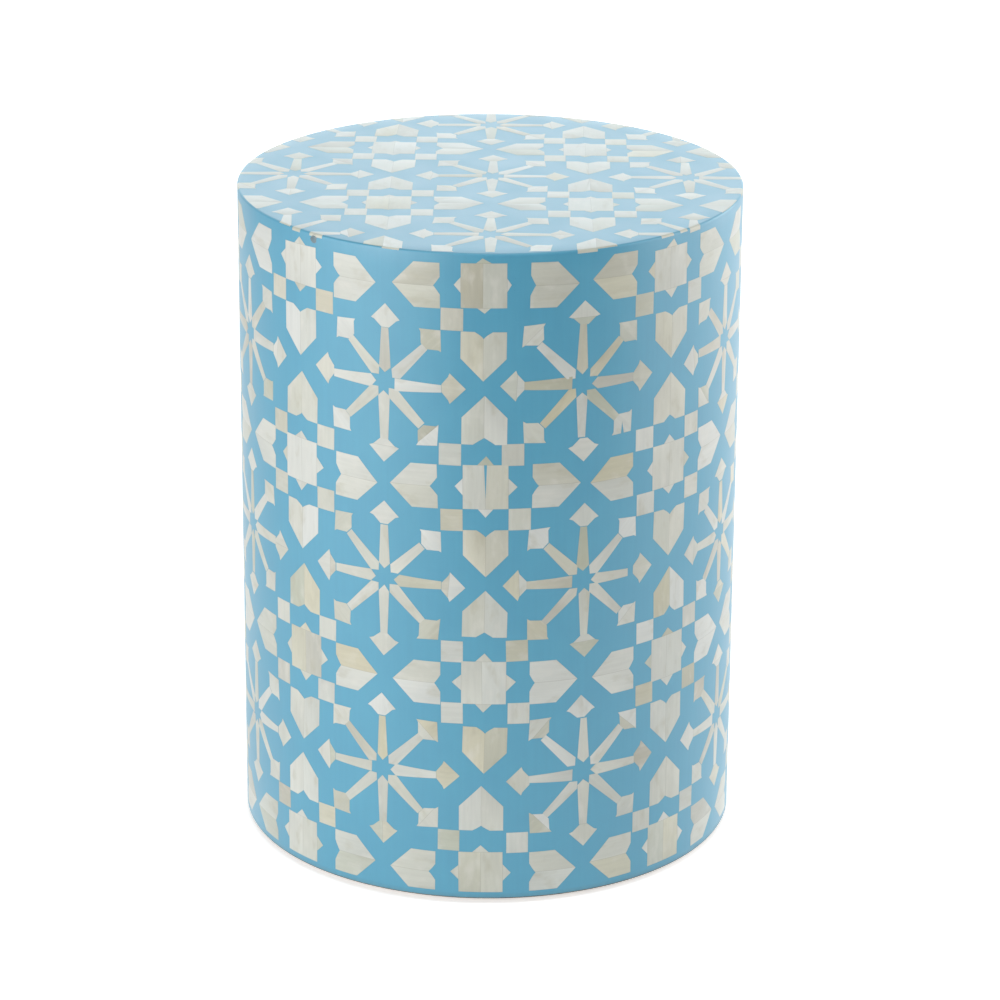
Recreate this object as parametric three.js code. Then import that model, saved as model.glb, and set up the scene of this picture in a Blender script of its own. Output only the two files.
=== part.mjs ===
// A drum stool in bone inlay. The carcass is a light drum: ring formers and short battens, a bent
// ply shell round them, a thick round board on top and a thin one below, on four small pads.
// Coloured resin covers the carcass, and hundreds of small bone tiles lie in it. They make
// eight-pointed stars with a square at each corner and a heart on each side, and between four
// stars a wheel of eight arms that end in arrowheads.
// Units are millimetres, +Z is up, and the drum's front faces -Y. The origin is on the floor,
// under the middle of the drum.

import * as THREE from "three";

// Driving sizes of the drum
const drumDiameter = 350;
const drumHeight = 466;
const padHeight = 4;
const fit = 0.3;

// Bone and resin
const boneThickness = 1;
const resinThickness = 1.5;
const rawEdge = 1;

// Carcass
const shellThickness = 6;
const topBoardThickness = 18;
const baseBoardThickness = 6;
const ringThickness = 18;
const ringWidth = 40;
const battenWidth = 40;
const battenDepth = 20;
const padDiameter = 22;
const padBevel = 1.5;

// Counts
const columns = 8;
const spokes = 8;
const starSides = 4;
const battens = 8;
const pads = 4;
const facets = 40;
const ringFacets = 20;
const padFacets = 10;

// The pattern repeats once a column, and everything in it is drawn on a grid of small squares.
// Its rows are spread between a plain band under the rim and one above the foot.
const squaresPerPitch = 9;
const firstRowDrop = 22.4;
const lastRowRise = 21.4;
const upperBand = 3;
const touchWidth = 0.8;
const weld = 0.001;

// Outline of the tiles, as shares of one grid square
const starReachShare = Math.SQRT2;
const tipGapShare = 0.6;
const notchDepthShare = 0.38;
const shoulderShare = 0.71;
const armTouchShare = 0.07;
const neckReachShare = 2.5;
const neckHalfShare = 0.18;
const barbShare = 0.69;
const sideKeepShare = 0.5;
const topKeepShare = 0.2;
const topSetbackShare = 0.69;

// Worked-out sizes of the pattern
const fullTurn = 2 * Math.PI;
const quarterTurn = fullTurn / 4;
const eighthTurn = fullTurn / 8;
const drumRadius = drumDiameter / 2;
const pitch = (fullTurn * drumRadius) / columns;
const halfPitch = pitch / 2;
const unit = pitch / squaresPerPitch;
const headReach = Math.SQRT2 * (halfPitch - 2 * unit);
const rowsHeight = drumHeight - firstRowDrop - lastRowRise;
const rowsBelowFirst = Math.max(1, Math.round(rowsHeight / pitch));
const rowStretch = rowsHeight / rowsBelowFirst / pitch;

// Radii from the outside in. An arm is flat along its length, so a level one dips at mid-length.
const armLength = (neckReachShare - (shoulderShare - armTouchShare) * Math.cos(eighthTurn / 2)) * unit;
const boneRadius = drumRadius - boneThickness;
const tileDip = boneRadius * (1 - Math.cos(armLength / drumRadius / 2));
const resinRadius = boneRadius - tileDip - fit;
const carcassRadius = resinRadius - resinThickness - fit;
const shellInnerRadius = carcassRadius - shellThickness;
const ringRadius = shellInnerRadius - fit;
const clearInShell = shellInnerRadius * Math.cos(fullTurn / facets / 2) - fit;
const battenBack = Math.sqrt(clearInShell ** 2 - (battenWidth / 2) ** 2);

// Heights from the top down and from the floor up
const topHeight = padHeight + drumHeight;
const firstRowHeight = topHeight - firstRowDrop;
const topResinHeight = topHeight - boneThickness - fit;
const topBoardHeight = topResinHeight - resinThickness - fit;
const shellTop = topBoardHeight - topBoardThickness - fit;
const baseRingBottom = padHeight + baseBoardThickness + fit;
const upperRingBottom = shellTop - ringThickness;
const middleRingBottom = (baseRingBottom + upperRingBottom) / 2;

// Finishes
const finishes = {
  bone: { color: "#e2ddcd", roughness: 0.35 },
  resin: { color: "#6cb0d0", roughness: 0.3 },
  board: { color: "#b08d62", roughness: 0.8 },
  ply: { color: "#c8a679", roughness: 0.7 },
  softwood: { color: "#d3b285", roughness: 0.7 },
  rubber: { color: "#2b2b2c", roughness: 0.9 },
};

const stool = new THREE.Group();
stool.name = "drum_stool";

// Adds one named piece to a group.
function addPiece(group, name, geometry, finish) {
  const material = new THREE.MeshStandardMaterial({ ...finishes[finish], metalness: 0 });
  const mesh = new THREE.Mesh(geometry, material);
  mesh.name = name;
  group.add(mesh);
  return mesh;
}

// Small steps with flat points, each an [x, y] pair
const turned = ([x, y], angle) => [
  x * Math.cos(angle) - y * Math.sin(angle),
  x * Math.sin(angle) + y * Math.cos(angle),
];
const moved = ([x, y], [dx, dy]) => [x + dx, y + dy];
const apart = ([ax, ay], [bx, by]) => Math.hypot(ax - bx, ay - by);
const turnedAndMoved = (outline, angle, to) => outline.map((p) => moved(turned(p, angle), to));

// Two tiles that touch at a corner share a short edge there, square to the way the corner points.
function touching([x, y], angle) {
  const aside = turned([0, touchWidth / 2], angle);
  return [
    [x - aside[0], y - aside[1]],
    [x + aside[0], y + aside[1]],
  ];
}

// The star: a square and the same square turned by an eighth, with its corners on four squares.
function starOutline(corners) {
  const outline = [];
  for (let side = 0; side < starSides; side++) {
    const angle = side * quarterTurn;
    const inner = (starReachShare - 1) * unit;
    outline.push(turned([unit, -inner], angle));
    outline.push(turned([starReachShare * unit, 0], angle));
    outline.push(turned([unit, inner], angle));
    const corner = turned([unit, unit], angle);
    outline.push(...(corners[side] ? touching(corner, angle + eighthTurn) : [corner]));
  }
  return outline;
}

// A small square beyond the star's upper right corner. Its outer corner meets an arrowhead.
function squareOutline(meetsArrow) {
  const outer = [2 * unit, 2 * unit];
  return [
    ...touching([unit, unit], -quarterTurn - eighthTurn),
    ...touching([2 * unit, unit], -eighthTurn),
    ...(meetsArrow ? touching(outer, eighthTurn) : [outer]),
    ...touching([unit, 2 * unit], quarterTurn + eighthTurn),
  ];
}

// A heart to the right of the star: a notched back, straight sides and a square-cut point. Its
// tip stays clear of the tip that faces it, from the next star.
function heartOutline(touchesLower, touchesUpper) {
  const back = 2 * unit;
  const tip = halfPitch - (tipGapShare * unit) / 2;
  const lower = [back, -unit];
  const upper = [back, unit];
  return [
    ...(touchesUpper ? touching(upper, quarterTurn + eighthTurn) : [upper]),
    [back + notchDepthShare * unit, 0],
    ...(touchesLower ? touching(lower, -quarterTurn - eighthTurn) : [lower]),
    [tip - unit, -unit],
    [tip, 0],
    [tip - unit, unit],
  ];
}

// One arm of the wheel, to the right of the hub. It touches the next arms along a short edge.
function armOutline() {
  const shoulder = [shoulderShare * unit, 0];
  const end = [(shoulderShare - armTouchShare) * unit, 0];
  return [
    turned(end, -eighthTurn / 2),
    turned(shoulder, -eighthTurn / 2),
    [neckReachShare * unit, -neckHalfShare * unit],
    [neckReachShare * unit, neckHalfShare * unit],
    turned(shoulder, eighthTurn / 2),
    turned(end, eighthTurn / 2),
  ];
}

// The arrowhead on that arm, with its two barbs. Its tip meets a square, or stops short of one.
function arrowOutline(tip) {
  const barb = barbShare * unit;
  const tips = {
    touching: touching([headReach, 0], 0),
    clear: [[headReach - fit, 0]],
    free: [[headReach, 0]],
  };
  return [
    [neckReachShare * unit, -neckHalfShare * unit],
    [headReach - barb, -barb],
    ...tips[tip],
    [headReach - barb, barb],
    [neckReachShare * unit, neckHalfShare * unit],
  ];
}

// All tiles round one star. The four sides are right, up, left and down.
function starTiles(centre, hasSquare, meetsArrow) {
  const tiles = [turnedAndMoved(starOutline(hasSquare), 0, centre)];
  for (let side = 0; side < starSides; side++) {
    const angle = side * quarterTurn;
    const before = hasSquare[(side + starSides - 1) % starSides];
    const after = hasSquare[side];
    if (after) tiles.push(turnedAndMoved(squareOutline(meetsArrow[side]), angle, centre));
    if (before || after) tiles.push(turnedAndMoved(heartOutline(before, after), angle, centre));
  }
  return tiles;
}

// All tiles of one wheel. The tips hold one word for each of the eight arrowheads.
function wheelTiles(centre, tips) {
  const tiles = [];
  for (let spoke = 0; spoke < spokes; spoke++) {
    const angle = spoke * eighthTurn;
    tiles.push(turnedAndMoved(armOutline(), angle, centre));
    tiles.push(turnedAndMoved(arrowOutline(tips[spoke]), angle, centre));
  }
  return tiles;
}

// Twice the area of an outline is enough to compare what a cut leaves of it.
function doubleArea(outline) {
  return outline.reduce((sum, [x, y], i) => {
    const [nextX, nextY] = outline[(i + 1) % outline.length];
    return sum + x * nextY - nextX * y;
  }, 0);
}

// Cuts off what lies beyond a straight line, given by a point on it and the way that is beyond.
function cutBeyond(outline, point, beyond) {
  const depth = ([x, y]) => (x - point[0]) * beyond[0] + (y - point[1]) * beyond[1];
  const kept = [];
  outline.forEach((here, i) => {
    const next = outline[(i + 1) % outline.length];
    const [hereDepth, nextDepth] = [depth(here), depth(next)];
    if (hereDepth <= weld) kept.push(here);
    if (Math.min(hereDepth, nextDepth) < -weld && Math.max(hereDepth, nextDepth) > weld) {
      const share = hereDepth / (hereDepth - nextDepth);
      kept.push([here[0] + share * (next[0] - here[0]), here[1] + share * (next[1] - here[1])]);
    }
  });
  return kept.filter((p, i) => apart(p, kept[(i + 1) % kept.length]) > weld);
}

// Cuts tiles along several lines, and leaves out those of which too little is left to lay.
function trimmed(tiles, lines, keepShare) {
  return tiles
    .map((tile) => {
      const rest = lines.reduce((outline, [point, beyond]) => cutBeyond(outline, point, beyond), tile);
      return doubleArea(rest) < keepShare * doubleArea(tile) ? [] : rest;
    })
    .filter((rest) => rest.length > 0);
}

// A tile wider than an arm is long is folded upright, at the corner nearest its middle, so that
// it follows the curve of the drum.
function folded(outline) {
  const across = outline.map(([x]) => x);
  const [left, right] = [Math.min(...across), Math.max(...across)];
  if (right - left <= armLength) return [outline];
  const middle = (left + right) / 2;
  const byNearness = (a, b) => Math.abs(a - middle) - Math.abs(b - middle);
  const fold = [across.sort(byNearness)[0], 0];
  return [cutBeyond(outline, fold, [1, 0]), cutBeyond(outline, fold, [-1, 0])];
}

// Numbers the corners of all faces, with one number for a corner that faces share.
function withSharedCorners(faces) {
  const corners = [];
  const numberOf = (point) => {
    const known = corners.findIndex((corner) => apart(corner, point) < 2 * weld);
    return known < 0 ? corners.push(point) - 1 : known;
  };
  return { corners, loops: faces.map((face) => face.map(numberOf)) };
}

// The edges of a loop of corner numbers, each as a pair
const edgesOf = (loop) => loop.map((corner, i) => [corner, loop[(i + 1) % loop.length]]);

// Sorts faces into islands that hang together by shared edges.
function islandsOf(faces) {
  const { loops } = withSharedCorners(faces);
  const islandOf = faces.map((face, i) => i);
  const ownerOf = new Map();
  loops.forEach((loop, i) => edgesOf(loop).forEach(([a, b]) => ownerOf.set(`${a} ${b}`, i)));
  loops.forEach((loop, i) => {
    edgesOf(loop).forEach(([a, b]) => {
      const neighbour = ownerOf.get(`${b} ${a}`);
      if (neighbour === undefined) return;
      const [from, to] = [islandOf[neighbour], islandOf[i]];
      islandOf.forEach((island, j) => {
        if (island === from) islandOf[j] = to;
      });
    });
  });
  const islands = [...new Set(islandOf)].map((id) => faces.filter((face, i) => islandOf[i] === id));
  return islands.sort((a, b) => b.length - a.length);
}

// Makes a thin solid of faces that share edges. place(x, y, depth) puts a flat point in space,
// at depth 0 on the outer side and at the thickness on the back. Shared edges get no wall.
function tileSolid(faces, place, thickness) {
  const { corners, loops } = withSharedCorners(faces);
  const backOf = (corner) => corner + corners.length;
  const outside = corners.flatMap(([x, y]) => place(x, y, 0));
  const inside = corners.flatMap(([x, y]) => place(x, y, thickness));
  const edges = new Set(loops.flatMap(edgesOf).map(([a, b]) => `${a} ${b}`));
  const triangles = [];
  loops.forEach((loop) => {
    const contour = loop.map((corner) => new THREE.Vector2(...corners[corner]));
    THREE.ShapeUtils.triangulateShape(contour, []).forEach((three) => {
      const [a, b, c] = three.map((i) => loop[i]);
      triangles.push(a, b, c, backOf(c), backOf(b), backOf(a));
    });
    edgesOf(loop).forEach(([a, b]) => {
      if (edges.has(`${b} ${a}`)) return;
      triangles.push(a, backOf(a), backOf(b), a, backOf(b), b);
    });
  });
  const geometry = new THREE.BufferGeometry();
  geometry.setAttribute("position", new THREE.Float32BufferAttribute([...outside, ...inside], 3));
  geometry.setIndex(triangles);
  geometry.computeVertexNormals();
  return geometry;
}

// A round solid from a closed profile of [radius, height] points
function revolved(profile, segments) {
  const points = profile.map(([radius, height]) => new THREE.Vector2(radius, height));
  return new THREE.LatheGeometry(points, segments).rotateX(Math.PI / 2);
}

// A flat disc from one height up to another
function disc(radius, bottom, top, segments) {
  const profile = [
    [0, bottom],
    [radius, bottom],
    [radius, top],
    [0, top],
  ];
  return revolved(profile, segments);
}

// A tube or flat ring with a square section
function tube(outer, inner, bottom, top, segments) {
  const profile = [
    [inner, bottom],
    [outer, bottom],
    [outer, top],
    [inner, top],
    [inner, bottom],
  ];
  return revolved(profile, segments);
}

// Inlay on the side. Flat x runs round the girth from the front, and flat y up from the middle
// of the first row's stars. The pattern is stretched a little in height to fill the side.
function sidePlace(x, y, depth) {
  const angle = x / drumRadius;
  const radius = drumRadius - depth;
  return [radius * Math.sin(angle), -radius * Math.cos(angle), firstRowHeight + y * rowStretch];
}

// One column has its stars, and the wheels to the right of them. The corners of the stars and of
// the wheels start at the upper right and go anticlockwise. The arrows on the wheels' right side
// stop just short of the next column's squares. The first row's stars have short upper points,
// and the last row's stars have no lower ones.
function addSideInlay() {
  const upperEdge = (firstRowDrop - upperBand) / rowStretch;
  const lowerEdge = -rowsBelowFirst * pitch - unit;
  const edges = [
    [[0, upperEdge], [0, 1]],
    [[0, lowerEdge], [0, -1]],
  ];
  for (let column = 0; column < columns; column++) {
    const tiles = [];
    for (let row = 0; row <= rowsBelowFirst; row++) {
      const hasUpper = row > 0;
      const hasLower = row < rowsBelowFirst;
      const centre = [column * pitch, -row * pitch];
      const hasSquare = [hasUpper, hasUpper, hasLower, hasLower];
      const meetsArrow = [hasUpper, false, false, hasLower];
      tiles.push(...starTiles(centre, hasSquare, meetsArrow));
      if (hasLower) {
        const tips = ["free", "clear", "free", "touching", "free", "touching", "free", "clear"];
        tiles.push(...wheelTiles(moved(centre, [halfPitch, -halfPitch]), tips));
      }
    }
    const faces = trimmed(tiles, edges, sideKeepShare).flatMap(folded);
    const geometry = tileSolid(faces, sidePlace, boneThickness);
    addPiece(stool, `bone_column_${column + 1}`, geometry, "bone");
  }
}

// Inlay on top, with a wheel a little nearer the back than the middle. Tiles are cut where they
// cross the rim, and those that the cut has parted from the rest are pieces of their own.
function addTopInlay() {
  const topPlace = (x, y, depth) => [x, y, topHeight - depth];
  const reach = Math.ceil(drumRadius / pitch);
  const everywhere = [true, true, true, true];
  const tips = ["free", "touching", "free", "touching", "free", "touching", "free", "touching"];
  const tiles = [];
  for (let i = -reach; i <= reach; i++) {
    for (let j = -reach; j <= reach; j++) {
      const wheelCentre = [i * pitch, j * pitch + topSetbackShare * unit];
      tiles.push(...wheelTiles(wheelCentre, tips));
      tiles.push(...starTiles(moved(wheelCentre, [halfPitch, halfPitch]), everywhere, everywhere));
    }
  }
  const rim = [];
  const halfFacet = fullTurn / facets / 2;
  for (let facet = 0; facet < facets; facet++) {
    const angle = (2 * facet + 1) * halfFacet;
    rim.push([turned([drumRadius * Math.cos(halfFacet), 0], angle), turned([1, 0], angle)]);
  }
  const islands = islandsOf(trimmed(tiles, rim, topKeepShare));
  islands.forEach((faces, i) => {
    const name = i ? `bone_rim_tile_${i}` : "bone_top";
    addPiece(stool, name, tileSolid(faces, topPlace, boneThickness), "bone");
  });
}

// The resin runs over the top and down the side in one coat, as far as a narrow raw edge.
function addResin() {
  const inner = resinRadius - resinThickness;
  const profile = [
    [0, topResinHeight - resinThickness],
    [inner, topResinHeight - resinThickness],
    [inner, padHeight + rawEdge],
    [resinRadius, padHeight + rawEdge],
    [resinRadius, topResinHeight],
    [0, topResinHeight],
  ];
  addPiece(stool, "resin_coat", revolved(profile, facets), "resin");
}

// The carcass. Short battens stand between the three rings, and the shell is bent round them.
function addCarcass() {
  const boardBottom = topBoardHeight - topBoardThickness;
  const boardTop = topBoardHeight;
  addPiece(stool, "top_board", disc(carcassRadius, boardBottom, boardTop, facets), "board");
  const shell = tube(carcassRadius, shellInnerRadius, padHeight, shellTop, facets);
  addPiece(stool, "drum_shell", shell, "ply");
  const baseTop = padHeight + baseBoardThickness;
  addPiece(stool, "base_board", disc(ringRadius, padHeight, baseTop, facets), "ply");

  const ringInner = ringRadius - ringWidth;
  const ringBottoms = {
    base_ring: baseRingBottom,
    middle_ring: middleRingBottom,
    upper_ring: upperRingBottom,
  };
  for (const [name, bottom] of Object.entries(ringBottoms)) {
    const ring = tube(ringRadius, ringInner, bottom, bottom + ringThickness, ringFacets);
    addPiece(stool, name, ring, "board");
  }

  const tiers = {
    lower_batten: [baseRingBottom, middleRingBottom],
    upper_batten: [middleRingBottom, upperRingBottom],
  };
  for (const [name, [ringBelow, ringAbove]] of Object.entries(tiers)) {
    const bottom = ringBelow + ringThickness + fit;
    const length = ringAbove - fit - bottom;
    for (let i = 0; i < battens; i++) {
      const spin = new THREE.Group();
      spin.rotation.z = ((i + 0.5) * fullTurn) / battens;
      stool.add(spin);
      const bar = new THREE.BoxGeometry(battenDepth, battenWidth, length);
      const batten = addPiece(spin, `${name}_${i + 1}`, bar, "softwood");
      batten.position.set(battenBack - battenDepth / 2, 0, bottom + length / 2);
    }
  }
}

// Four rubber pads under the base ring keep the raw edge off the floor.
function addPads() {
  const radius = padDiameter / 2;
  const top = padHeight - fit;
  const profile = [
    [0, 0],
    [radius - padBevel, 0],
    [radius, padBevel],
    [radius, top],
    [0, top],
  ];
  for (let i = 0; i < pads; i++) {
    const angle = ((i + 0.5) * fullTurn) / pads;
    const pad = addPiece(stool, `foot_pad_${i + 1}`, revolved(profile, padFacets), "rubber");
    const [x, y] = turned([ringRadius - ringWidth / 2, 0], angle);
    pad.position.set(x, y, 0);
  }
}

addCarcass();
addPads();
addResin();
addSideInlay();
addTopInlay();

export default stool;
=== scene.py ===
# %% [markdown]
# # A drum stool in bone inlay
# The real stool is a light wooden drum. Small tiles of sawn bone are glued all over it, coloured
# resin is filled round them, and everything is sanded flush and lacquered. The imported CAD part
# holds the drum and a plain version of the inlay. This script keeps the drum, and lays the inlay
# again as the maker does, tile by tile: each tile has its own outline, place, grain and tone.

import math
import random

import bmesh
import bpy
from mathutils import Matrix, Vector


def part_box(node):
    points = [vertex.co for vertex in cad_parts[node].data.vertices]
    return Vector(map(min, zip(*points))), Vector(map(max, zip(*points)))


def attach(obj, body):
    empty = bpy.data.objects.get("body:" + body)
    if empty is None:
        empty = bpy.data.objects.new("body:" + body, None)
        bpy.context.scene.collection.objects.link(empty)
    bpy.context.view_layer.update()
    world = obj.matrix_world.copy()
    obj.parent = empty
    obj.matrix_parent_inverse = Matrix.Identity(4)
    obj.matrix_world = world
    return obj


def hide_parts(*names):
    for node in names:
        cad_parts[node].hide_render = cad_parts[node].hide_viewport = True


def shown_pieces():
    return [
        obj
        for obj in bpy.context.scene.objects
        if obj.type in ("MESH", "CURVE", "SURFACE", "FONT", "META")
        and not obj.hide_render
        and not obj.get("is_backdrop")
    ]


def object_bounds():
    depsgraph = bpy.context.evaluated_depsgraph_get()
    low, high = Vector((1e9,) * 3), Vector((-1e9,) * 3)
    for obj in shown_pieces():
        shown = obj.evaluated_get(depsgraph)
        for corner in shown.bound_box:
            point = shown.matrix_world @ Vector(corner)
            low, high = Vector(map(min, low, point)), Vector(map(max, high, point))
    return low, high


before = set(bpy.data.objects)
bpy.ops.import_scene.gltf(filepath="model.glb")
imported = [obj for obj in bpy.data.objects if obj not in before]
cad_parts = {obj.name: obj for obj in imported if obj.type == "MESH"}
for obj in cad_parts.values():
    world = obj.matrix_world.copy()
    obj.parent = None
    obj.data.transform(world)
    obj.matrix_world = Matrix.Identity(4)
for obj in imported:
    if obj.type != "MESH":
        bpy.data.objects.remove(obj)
cad_low, cad_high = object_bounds()
mm = 0.001
scene = bpy.context.scene
print("CAD box in mm:", [round(v / mm, 1) for v in (*cad_low, *cad_high)])

# %% [markdown]
# ## Sizes
# Everything is worked out from the drum in the frame. The pattern repeats eight times round the
# girth, and each repeat is nine small squares wide. The four rows are spread between a plain band
# under the rim and one above the foot, so they stand a little further apart than the columns.
# Flat sizes of the pattern are in millimetres, because a tile cutter thinks in them.

# %% Sizes of the drum and the pattern
drum_radius = (cad_high.x - cad_low.x) / 2
drum_top = cad_high.z
drum_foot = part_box("drum_shell")[0].z
columns = 8
rows = 4
squares_per_pitch = 9
first_row_drop = 22.4
last_row_rise = 21.4
upper_band = 3.0
top_setback_share = 0.69

pitch = 2 * math.pi * drum_radius / mm / columns
half_pitch = pitch / 2
unit = pitch / squares_per_pitch
first_row_height = drum_top - first_row_drop * mm
last_row_height = drum_foot + last_row_rise * mm
row_stretch = (first_row_height - last_row_height) / mm / (rows - 1) / pitch
top_setback = top_setback_share * unit
full_turn = 2 * math.pi
spokes = 8
print(f"pitch {pitch:.1f} mm, small square {unit:.2f} mm, rows stretched by {row_stretch:.4f}")

# %% [markdown]
# ## Camera
# The photo looks down on the stool from about 20 degrees above the horizon, through a long lens
# at 2.7 m. The camera was fitted to the outline, the rim and the middles of the stars. It stands
# a little to the right of the front column, and is turned and tilted by a fraction of a degree
# instead of using a lens shift, so that the other views stay centred.

# %% Camera
camera_distance = 2.7117
camera_height = 1.2449
camera_tilt = math.radians(20.533)
camera_aside = math.radians(0.7)
camera_turn = math.radians(-0.170)
camera_roll = math.radians(0.363)
camera_lens = 146.32
camera_sensor = 36.0

camera_data = bpy.data.cameras.new("camera")
camera_data.lens = camera_lens
camera_data.sensor_width = camera_sensor
camera = bpy.data.objects.new("camera", camera_data)
scene.collection.objects.link(camera)
camera_place = Vector(
    (
        camera_distance * math.sin(camera_aside),
        -camera_distance * math.cos(camera_aside),
        camera_height + drum_foot,
    )
)
camera.matrix_world = (
    Matrix.Translation(camera_place)
    @ Matrix.Rotation(camera_aside + camera_turn, 4, "Z")
    @ Matrix.Rotation(math.radians(90) - camera_tilt, 4, "X")
    @ Matrix.Rotation(camera_roll, 4, "Z")
)
scene.camera = camera
print("camera at", [round(v, 3) for v in camera_place])

# %% [markdown]
# ## Helpers for nodes and colours
# Materials are made of nodes. One small function adds a node with its settings and says what
# feeds each socket. Colours are picked as sRGB hex, as in any paint program, and another function
# turns them into the linear numbers that the renderer works with. A colour ramp gets its stops
# from a third one.


# %% Nodes and colours
def linear(hex_colour):
    """An sRGB hex colour as linear red, green, blue and alpha."""
    parts = [int(hex_colour[i : i + 2], 16) / 255 for i in (1, 3, 5)]
    parts = [p / 12.92 if p <= 0.04045 else ((p + 0.055) / 1.055) ** 2.4 for p in parts]
    return (*parts, 1.0)


def add_node(tree, kind, settings=None, feeds=None):
    """Adds a node. Settings are its options or its sockets' values, and feeds maps sockets to outputs."""
    node = tree.nodes.new(kind)
    for name, value in (settings or {}).items():
        if isinstance(name, str) and hasattr(node, name):
            setattr(node, name, value)
        else:
            node.inputs[name].default_value = value
    for name, output in (feeds or {}).items():
        tree.links.new(output, node.inputs[name])
    return node


def set_stops(ramp_node, *stops):
    """Gives a colour ramp its stops, from the lowest up, each a position and an sRGB hex colour."""
    elements = ramp_node.color_ramp.elements
    for element, (position, colour) in ((elements[0], stops[0]), (elements[1], stops[-1])):
        element.position = position
        element.color = linear(colour)
    for position, colour in stops[1:-1]:
        elements.new(position).color = linear(colour)


def new_material(name):
    """An empty node material with its output. Gives the material, its tree and its output node."""
    material = bpy.data.materials.new(name)
    material.use_nodes = True
    material.node_tree.nodes.clear()
    output = add_node(material.node_tree, "ShaderNodeOutputMaterial")
    return material, material.node_tree, output


print("white in linear light:", linear("#FFFFFF"))

# %% [markdown]
# ## Light and floor
# The photo is a cut-out on pure white. The stool was lit softly from both sides, a little more
# from the left, and it stood on white paper in front of a bright wall, which the satin lacquer
# mirrors: that is why the top looks so much paler than the side. So there are large softboxes at
# the left and the left front, at the right and the right rear, one overhead and one over the back
# wall. The last two are a little cooler, because the photo's top is. The strengths were found by
# rendering each lamp alone and fitting their sum to the photo, and then touched up.


# %% Lamps
cool_white = "#F1FBFF"


def add_lamp(name, azimuth, elevation, distance, width, height, watts, colour="#FFFFFF"):
    """A soft rectangular lamp that faces the middle of the drum."""
    data = bpy.data.lights.new(name, "AREA")
    data.shape = "RECTANGLE"
    data.size = width
    data.size_y = height
    data.energy = watts
    data.color = linear(colour)[:3]
    lamp = bpy.data.objects.new(name, data)
    scene.collection.objects.link(lamp)
    turn, rise = math.radians(azimuth), math.radians(elevation)
    away = Vector(
        (math.sin(turn) * math.cos(rise), -math.cos(turn) * math.cos(rise), math.sin(rise))
    )
    middle = Vector((0, 0, (drum_foot + drum_top) / 2))
    lamp.location = middle + away * distance
    lamp.rotation_mode = "QUATERNION"
    lamp.rotation_quaternion = (-away).to_track_quat("-Z", "Y")
    lamp.visible_camera = False
    return lamp


# Azimuth to the right of the front and elevation, in degrees; distance, width and height in
# metres; watts.
add_lamp("left_softbox", -62, 8, 2.4, 1.5, 1.6, 23.5)
add_lamp("left_front_softbox", -38, 6, 2.4, 1.5, 1.2, 25)
add_lamp("right_softbox", 82, 18, 2.4, 1.3, 2.2, 29)
add_lamp("right_rear_softbox", 120, 8, 2.4, 1.2, 1.6, 21)
add_lamp("overhead_softbox", 0, 75, 2.4, 2.0, 2.0, 24, cool_white)
add_lamp("back_wall_light", 180, 20, 2.6, 2.8, 1.5, 18.5, cool_white)

# %% [markdown]
# ## The studio round the stool
# To the camera, and in the lacquer, the studio is plain white. To the lamps it is nearly dark, so
# that it adds hardly any light of its own and the softboxes give the stool its shading.

# %% Studio
world = bpy.data.worlds.new("studio")
scene.world = world
world.use_nodes = True
world.node_tree.nodes.clear()
tree = world.node_tree
rays = add_node(tree, "ShaderNodeLightPath")
seen = add_node(
    tree,
    "ShaderNodeMath",
    {"operation": "MAXIMUM"},
    {0: rays.outputs["Is Camera Ray"], 1: rays.outputs["Is Glossy Ray"]},
)
seen = add_node(
    tree,
    "ShaderNodeMath",
    {"operation": "MAXIMUM"},
    {0: seen.outputs[0], 1: rays.outputs["Is Transmission Ray"]},
)
ambient_strength = 0.06
ambient = add_node(
    tree,
    "ShaderNodeBackground",
    {"Color": linear("#FFFFFF"), "Strength": ambient_strength},
)
backdrop = add_node(
    tree,
    "ShaderNodeMix",
    {"data_type": "RGBA", 6: linear("#FFFFFF"), 7: linear(cool_white)},
    {0: rays.outputs["Is Glossy Ray"]},
)
white = add_node(tree, "ShaderNodeBackground", {"Strength": 1.0}, {"Color": backdrop.outputs[2]})
mixed = add_node(
    tree,
    "ShaderNodeMixShader",
    {},
    {0: seen.outputs[0], 1: ambient.outputs[0], 2: white.outputs[0]},
)
add_node(tree, "ShaderNodeOutputWorld", {}, {"Surface": mixed.outputs[0]})
print("studio:", len(tree.nodes), "nodes, ambient light", ambient_strength)

# %% Floor
floor_size = 14.0
floor_mesh = bpy.data.meshes.new("floor")
work = bmesh.new()
bmesh.ops.create_grid(work, x_segments=8, y_segments=8, size=floor_size / 2)
work.to_mesh(floor_mesh)
work.free()
floor = bpy.data.objects.new("floor", floor_mesh)
scene.collection.objects.link(floor)
floor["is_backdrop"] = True
print("floor:", len(floor_mesh.polygons), "faces")
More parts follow.
